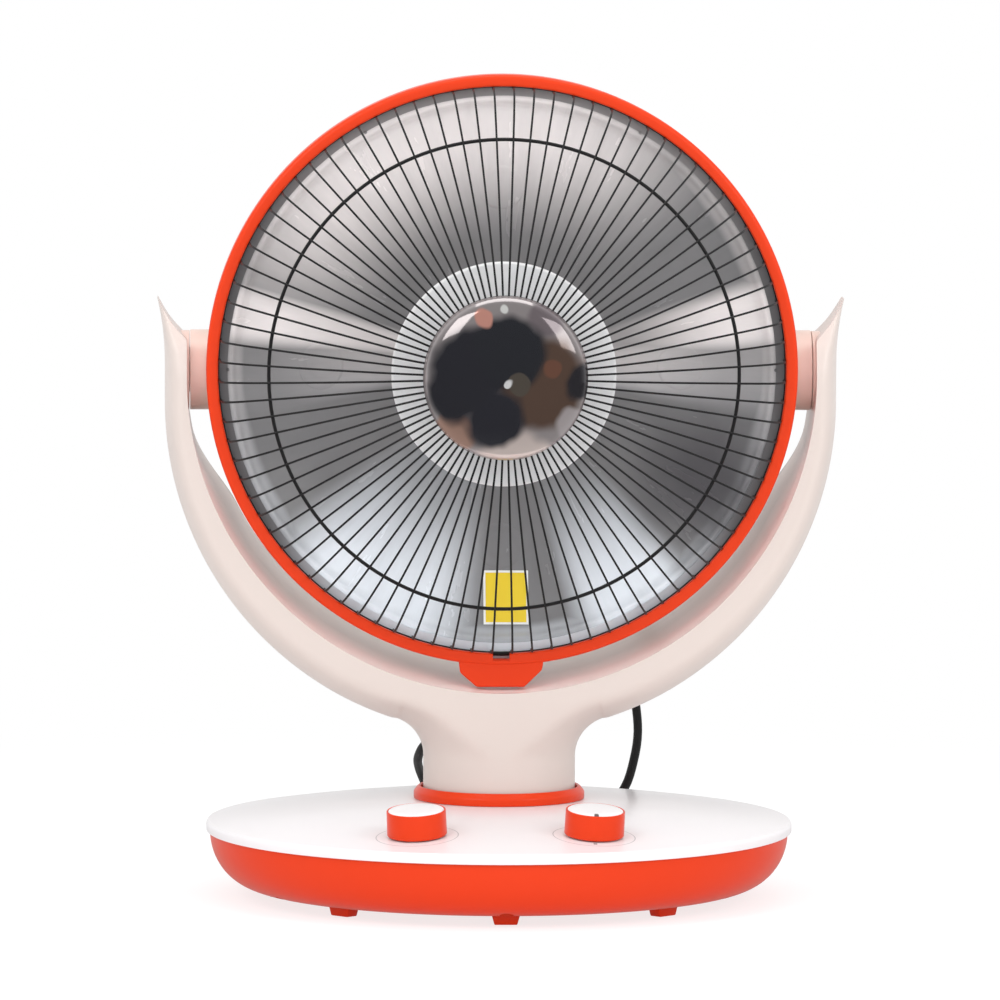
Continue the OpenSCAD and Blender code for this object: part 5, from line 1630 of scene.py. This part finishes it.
@dataclass
class Head(Assembly):
    """The tilting head: front ring, latch, dish, rear shell and element."""

    body: str = "head"
    ring_r: float = 172.8
    face_r: float = 165.8
    front: float = 38.0
    back: float = 22.0
    dish_r: float = 154.0
    dish_low: float = -24.0
    dish_top: float = 20.6
    dimple_r: float = 105.5
    shell_r: float = 172.2
    well_r: float = 166.7
    head_screws: int = 6
    vents: int = 30

    def dish_h(self, r: float) -> float:
        """Height of the dish's face at a radius, mm."""
        return self.dish_low + (self.dish_top - self.dish_low) * (max(r, 0) / self.dish_r) ** 1.35

    def ring(self) -> None:
        """Turns the orange front ring and cuts the notch above the latch."""
        f = self.front
        profile = [(self.face_r, f - 5), (self.face_r, f - 1.3),
                   *arc(self.face_r + 1.3, f - 1.3, 1.3, 180, 90, 5),
                   *arc(self.ring_r - 2.7, f - 2.7, 2.7, 90, 0, 8), (self.ring_r, self.back + 0.4),
                   (self.ring_r - 0.4, self.back), (170.3, self.back), (170.3, f - 5), (self.face_r, f - 5)]
        ring = Bench.lathe("front_ring_bezel", profile, Axis.HEAD, 192, 40)
        notch = Bench.box("notch", (9.8, 7.2, 10.2), (-0.1, -35.5, HEAD_Z - 164.9))
        self.keep(Bench.carve(ring, notch), Paint.ORANGE, "orange_plastic", "front_ring")

    def latch(self) -> None:
        """Shapes the latch tab under the ring."""
        z = HEAD_Z - self.ring_r
        xz = ((-24.8, 3.6), (-24.7, 0.3), (-24.1, -4.4), (-14.4, -12.8), (13.4, -12.8), (23.7, -2.8),
              (24.4, 0.5), (24.6, 3.6))
        corners = [(x, -self.front + 1.2, z + dz) for x, dz in xz]
        tab = Bench.plate("latch_tab", corners, (0, 10, 0), 0.9)
        self.keep(tab, Paint.ORANGE, "orange_plastic", "latch")

    def dish(self) -> None:
        """Turns the reflector with its rolled edge and presses four dimples on it."""
        n, hole = 48, 21
        radii = [hole + (self.dish_r - hole) * i / n for i in range(n + 1)]
        face = [(r, self.dish_h(r)) for r in radii]
        edge = [(156.2, 25.6), (157.6, 28.2), (158.4, 28.6), (161.4, 28.6), (161.4, 27.8), (158.6, 27.8),
                (157.2, 25.3), (154.4, 19.8)]
        back = [(r, h - 0.8) for r, h in reversed(face)]
        parts = [Bench.lathe("reflector_dish", [*face, *edge, *back[1:], face[0]], Axis.HEAD, 240, 60)]
        r0 = self.dimple_r
        lean = math.atan((self.dish_h(r0 + 1) - self.dish_h(r0 - 1)) / 2)
        bump = [(15, -0.6), (13.8, 0.25), (12.6, 0.5), (11.2, 0.45), (9.6, 0.2), (7.8, 0.12), (6.6, 0.4),
                (5.4, 0.45), (0, 0.45)]
        for k in range(4):
            dimple = Bench.lathe("dimple", bump, Axis.BASE, 48, 60)
            place = Matrix.Translation(Vector((r0, -self.dish_h(r0), 0)) * MM)
            tilt = Matrix.Rotation(math.pi / 2 * k, 4, "Y") @ place
            tilt = tilt @ Matrix.Rotation(-lean, 4, "Z") @ Matrix.Rotation(math.pi / 2, 4, "X")
            parts.append(Bench.placed(dimple, Matrix.Translation(Axis.HEAD.centre) @ tilt))
        self.keep(Bench.joined("reflector_dish", parts), Paint.SPUN, "spun_aluminium", "reflector")
        flat = [(160.3, 29.8), (170.1, 29.8), (170.1, 28.7), (160.3, 28.7), (160.3, 29.8)]
        self.keep(Bench.lathe("baffle", flat, Axis.HEAD, 144), Paint.EDGE, "spun_aluminium", "baffle_ring")

    def rear_outline(self, inset: float) -> Pairs:
        """Half outline of the rear shell from the middle to its front edge.

        Args:
            inset: how far inside the outer surface, mm.

        Returns:
            Radius and height of each corner.
        """
        bowl = oval(70, 12, self.shell_r - 70 - inset, 74 - inset, -90, 0, 30)
        return [(0, -62 + inset), (30, -62 + inset), *bowl, (self.shell_r - inset, self.back)]

    def wells(self, shell: Piece) -> Piece:
        """Sinks six screw wells into the shell's back and adds the lugs they end on.

        Args:
            shell: the rear shell.

        Returns:
            The shell with its wells and lugs.
        """
        rows, a = [], math.pi / 6
        for radius, low, high in ((3.6, -45.0, 16.9), (4.0, 17.0, 21.8)):
            post = Bench.post("post", radius, high - low, sides=32)
            x, z = self.well_r * math.cos(a), HEAD_Z + self.well_r * math.sin(a)
            place = Vector((x, -(low + high) / 2, z)) * MM
            Bench.placed(post, Matrix.Translation(place) @ Matrix.Rotation(math.pi / 2, 4, "X"))
            rows.append(Bench.copies(post, self.head_screws, Axis.HEAD))
        return Bench.joined("rear_housing", [Bench.carve(shell, rows[0]), rows[1]])

    def rear(self) -> None:
        """Turns the rear shell, adds the pivot bosses and cuts its vents."""
        inner = self.rear_outline(2.4)
        shell = Bench.lathe("rear_housing", [*self.rear_outline(0), *reversed(inner)], Axis.HEAD, 180)
        vent = Bench.rounded(Bench.box("vent", (34, 28, 4)), 1.7, 2, 30)
        Bench.placed(vent, Matrix.Translation(Vector((101, 49, HEAD_Z)) * MM))
        Bench.carve(shell, Bench.copies(vent, self.vents, Axis.HEAD))
        self.keep(self.wells(shell), Paint.BACK, "cream_plastic", "rear_shell")
        boss = [(0, 0), (23.3, 0), (23.5, 0.2), (23.5, 20), (0, 20)]
        bosses = Bench.pair("pivot_bosses", boss, 182.1, -1, 72)
        core = [(0, -62), *oval(70, 12, 101.4, 73.2, -90, 0, 30), (171.4, 22), (172.9, 22), (172.9, 40),
                (0, 40)]
        Bench.carve(bosses, Bench.lathe("core", core, Axis.HEAD, 120))
        self.keep(bosses, Paint.PIVOT_LIT, "cream_plastic")

    def cover(self) -> None:
        """Turns the round cover over the connections and its three screw recesses."""
        profile = [(0, -62), (58, -62), *arc(52, -72, 6, 0, -90, 8), (20, -78), (0, -78.4)]
        cover = Bench.lathe("rear_cap", profile, Axis.HEAD, 120)
        recess = Bench.post("recess", 3.1, 6.0)
        place = Matrix.Translation(Vector((48 * math.cos(math.pi / 6), 78, HEAD_Z + 24)) * MM)
        Bench.placed(recess, place @ Matrix.Rotation(math.pi / 2, 4, "X"))
        Bench.carve(cover, Bench.copies(recess, 3, Axis.HEAD))
        self.keep(cover, Paint.BACK, "cream_plastic", "rear_cover")

    def sticker(self) -> None:
        """Lays the blank yellow sticker with its white border on the dish."""
        middle_x, middle_z, half_w, half_h = 3.2, -135, 13.2, 15.4
        for name, grow, lift, finish, nodes in (
            ("sticker_border", 0.0, 0.3, Paint.PALE, ["blank_label"]),
            ("sticker_face", -1.3, 0.42, Paint.YELLOW, []),
        ):
            Bench.clear()
            bpy.ops.mesh.primitive_grid_add(x_subdivisions=16, y_subdivisions=20, size=2)
            piece = Bench.named(name)
            for v in piece.data.vertices:
                x = middle_x + v.co.x * (half_w + grow)
                z = middle_z + v.co.y * (half_h + grow)
                v.co = Vector((x, -(self.dish_h(math.hypot(x, z)) + lift), HEAD_Z + z)) * MM
            Bench.edit(piece)
            bpy.ops.mesh.flip_normals()
            bpy.ops.object.mode_set(mode="OBJECT")
            self.keep(piece, finish, "label_paper", *nodes)

    def element(self) -> None:
        """Winds the carbon ribbon inside the tube."""
        points = [Axis.HEAD.at(0, -24)]
        turns, steps, r, low, high = 9, 14, 5.6, -18, 44
        for i in range(turns * steps + 1):
            a = math.tau * i / steps
            h = low + (high - low) * i / (turns * steps)
            points.append(Axis.HEAD.at(0, h) + Vector((r * math.cos(a), 0, r * math.sin(a))) * MM)
        self.keep(Bench.tube("filament", points, 0.8, 1), Paint.CARBON, "carbon", "carbon_filament")

    def build(self) -> None:
        """Builds the head and dresses the nodes that stay."""
        self.ring()
        self.latch()
        self.dish()
        self.rear()
        self.cover()
        self.sticker()
        self.element()
        self.dress(
            reflector_rivets=Paint.EDGE, element_base=Paint.CERAMIC, quartz_tube=Paint.QUARTZ,
            element_cap=Paint.CERAMIC, thermal_cutout=Paint.BLACK, pivot_pins=Paint.STEEL,
            head_screws=Paint.STEEL, cover_screws=Paint.STEEL, head_gland=Paint.BLACK,
        )


@dataclass
class Drive(Assembly):
    """Shaft and crank of the swing motor."""

    body: str = "drive"

    def build(self) -> None:
        """Dresses the shaft and the crank."""
        self.dress(motor_shaft=Paint.STEEL, crank=Paint.NYLON)


def main() -> None:
    """Builds the studio and each sub-assembly."""
    logging.basicConfig(level=logging.INFO, format="%(name)s: %(message)s")
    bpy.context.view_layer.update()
    Studio().build()
    Lead().build()
    Base().build()
    Knob("timer_dial", label="timer", side=-1).build()
    Knob("power_dial", label="power", side=1).build()
    Drive().build()
    Yoke().build()
    Guard().build()
    Head().build()
    Bench.clear()


if __name__ == "__main__":
    main()
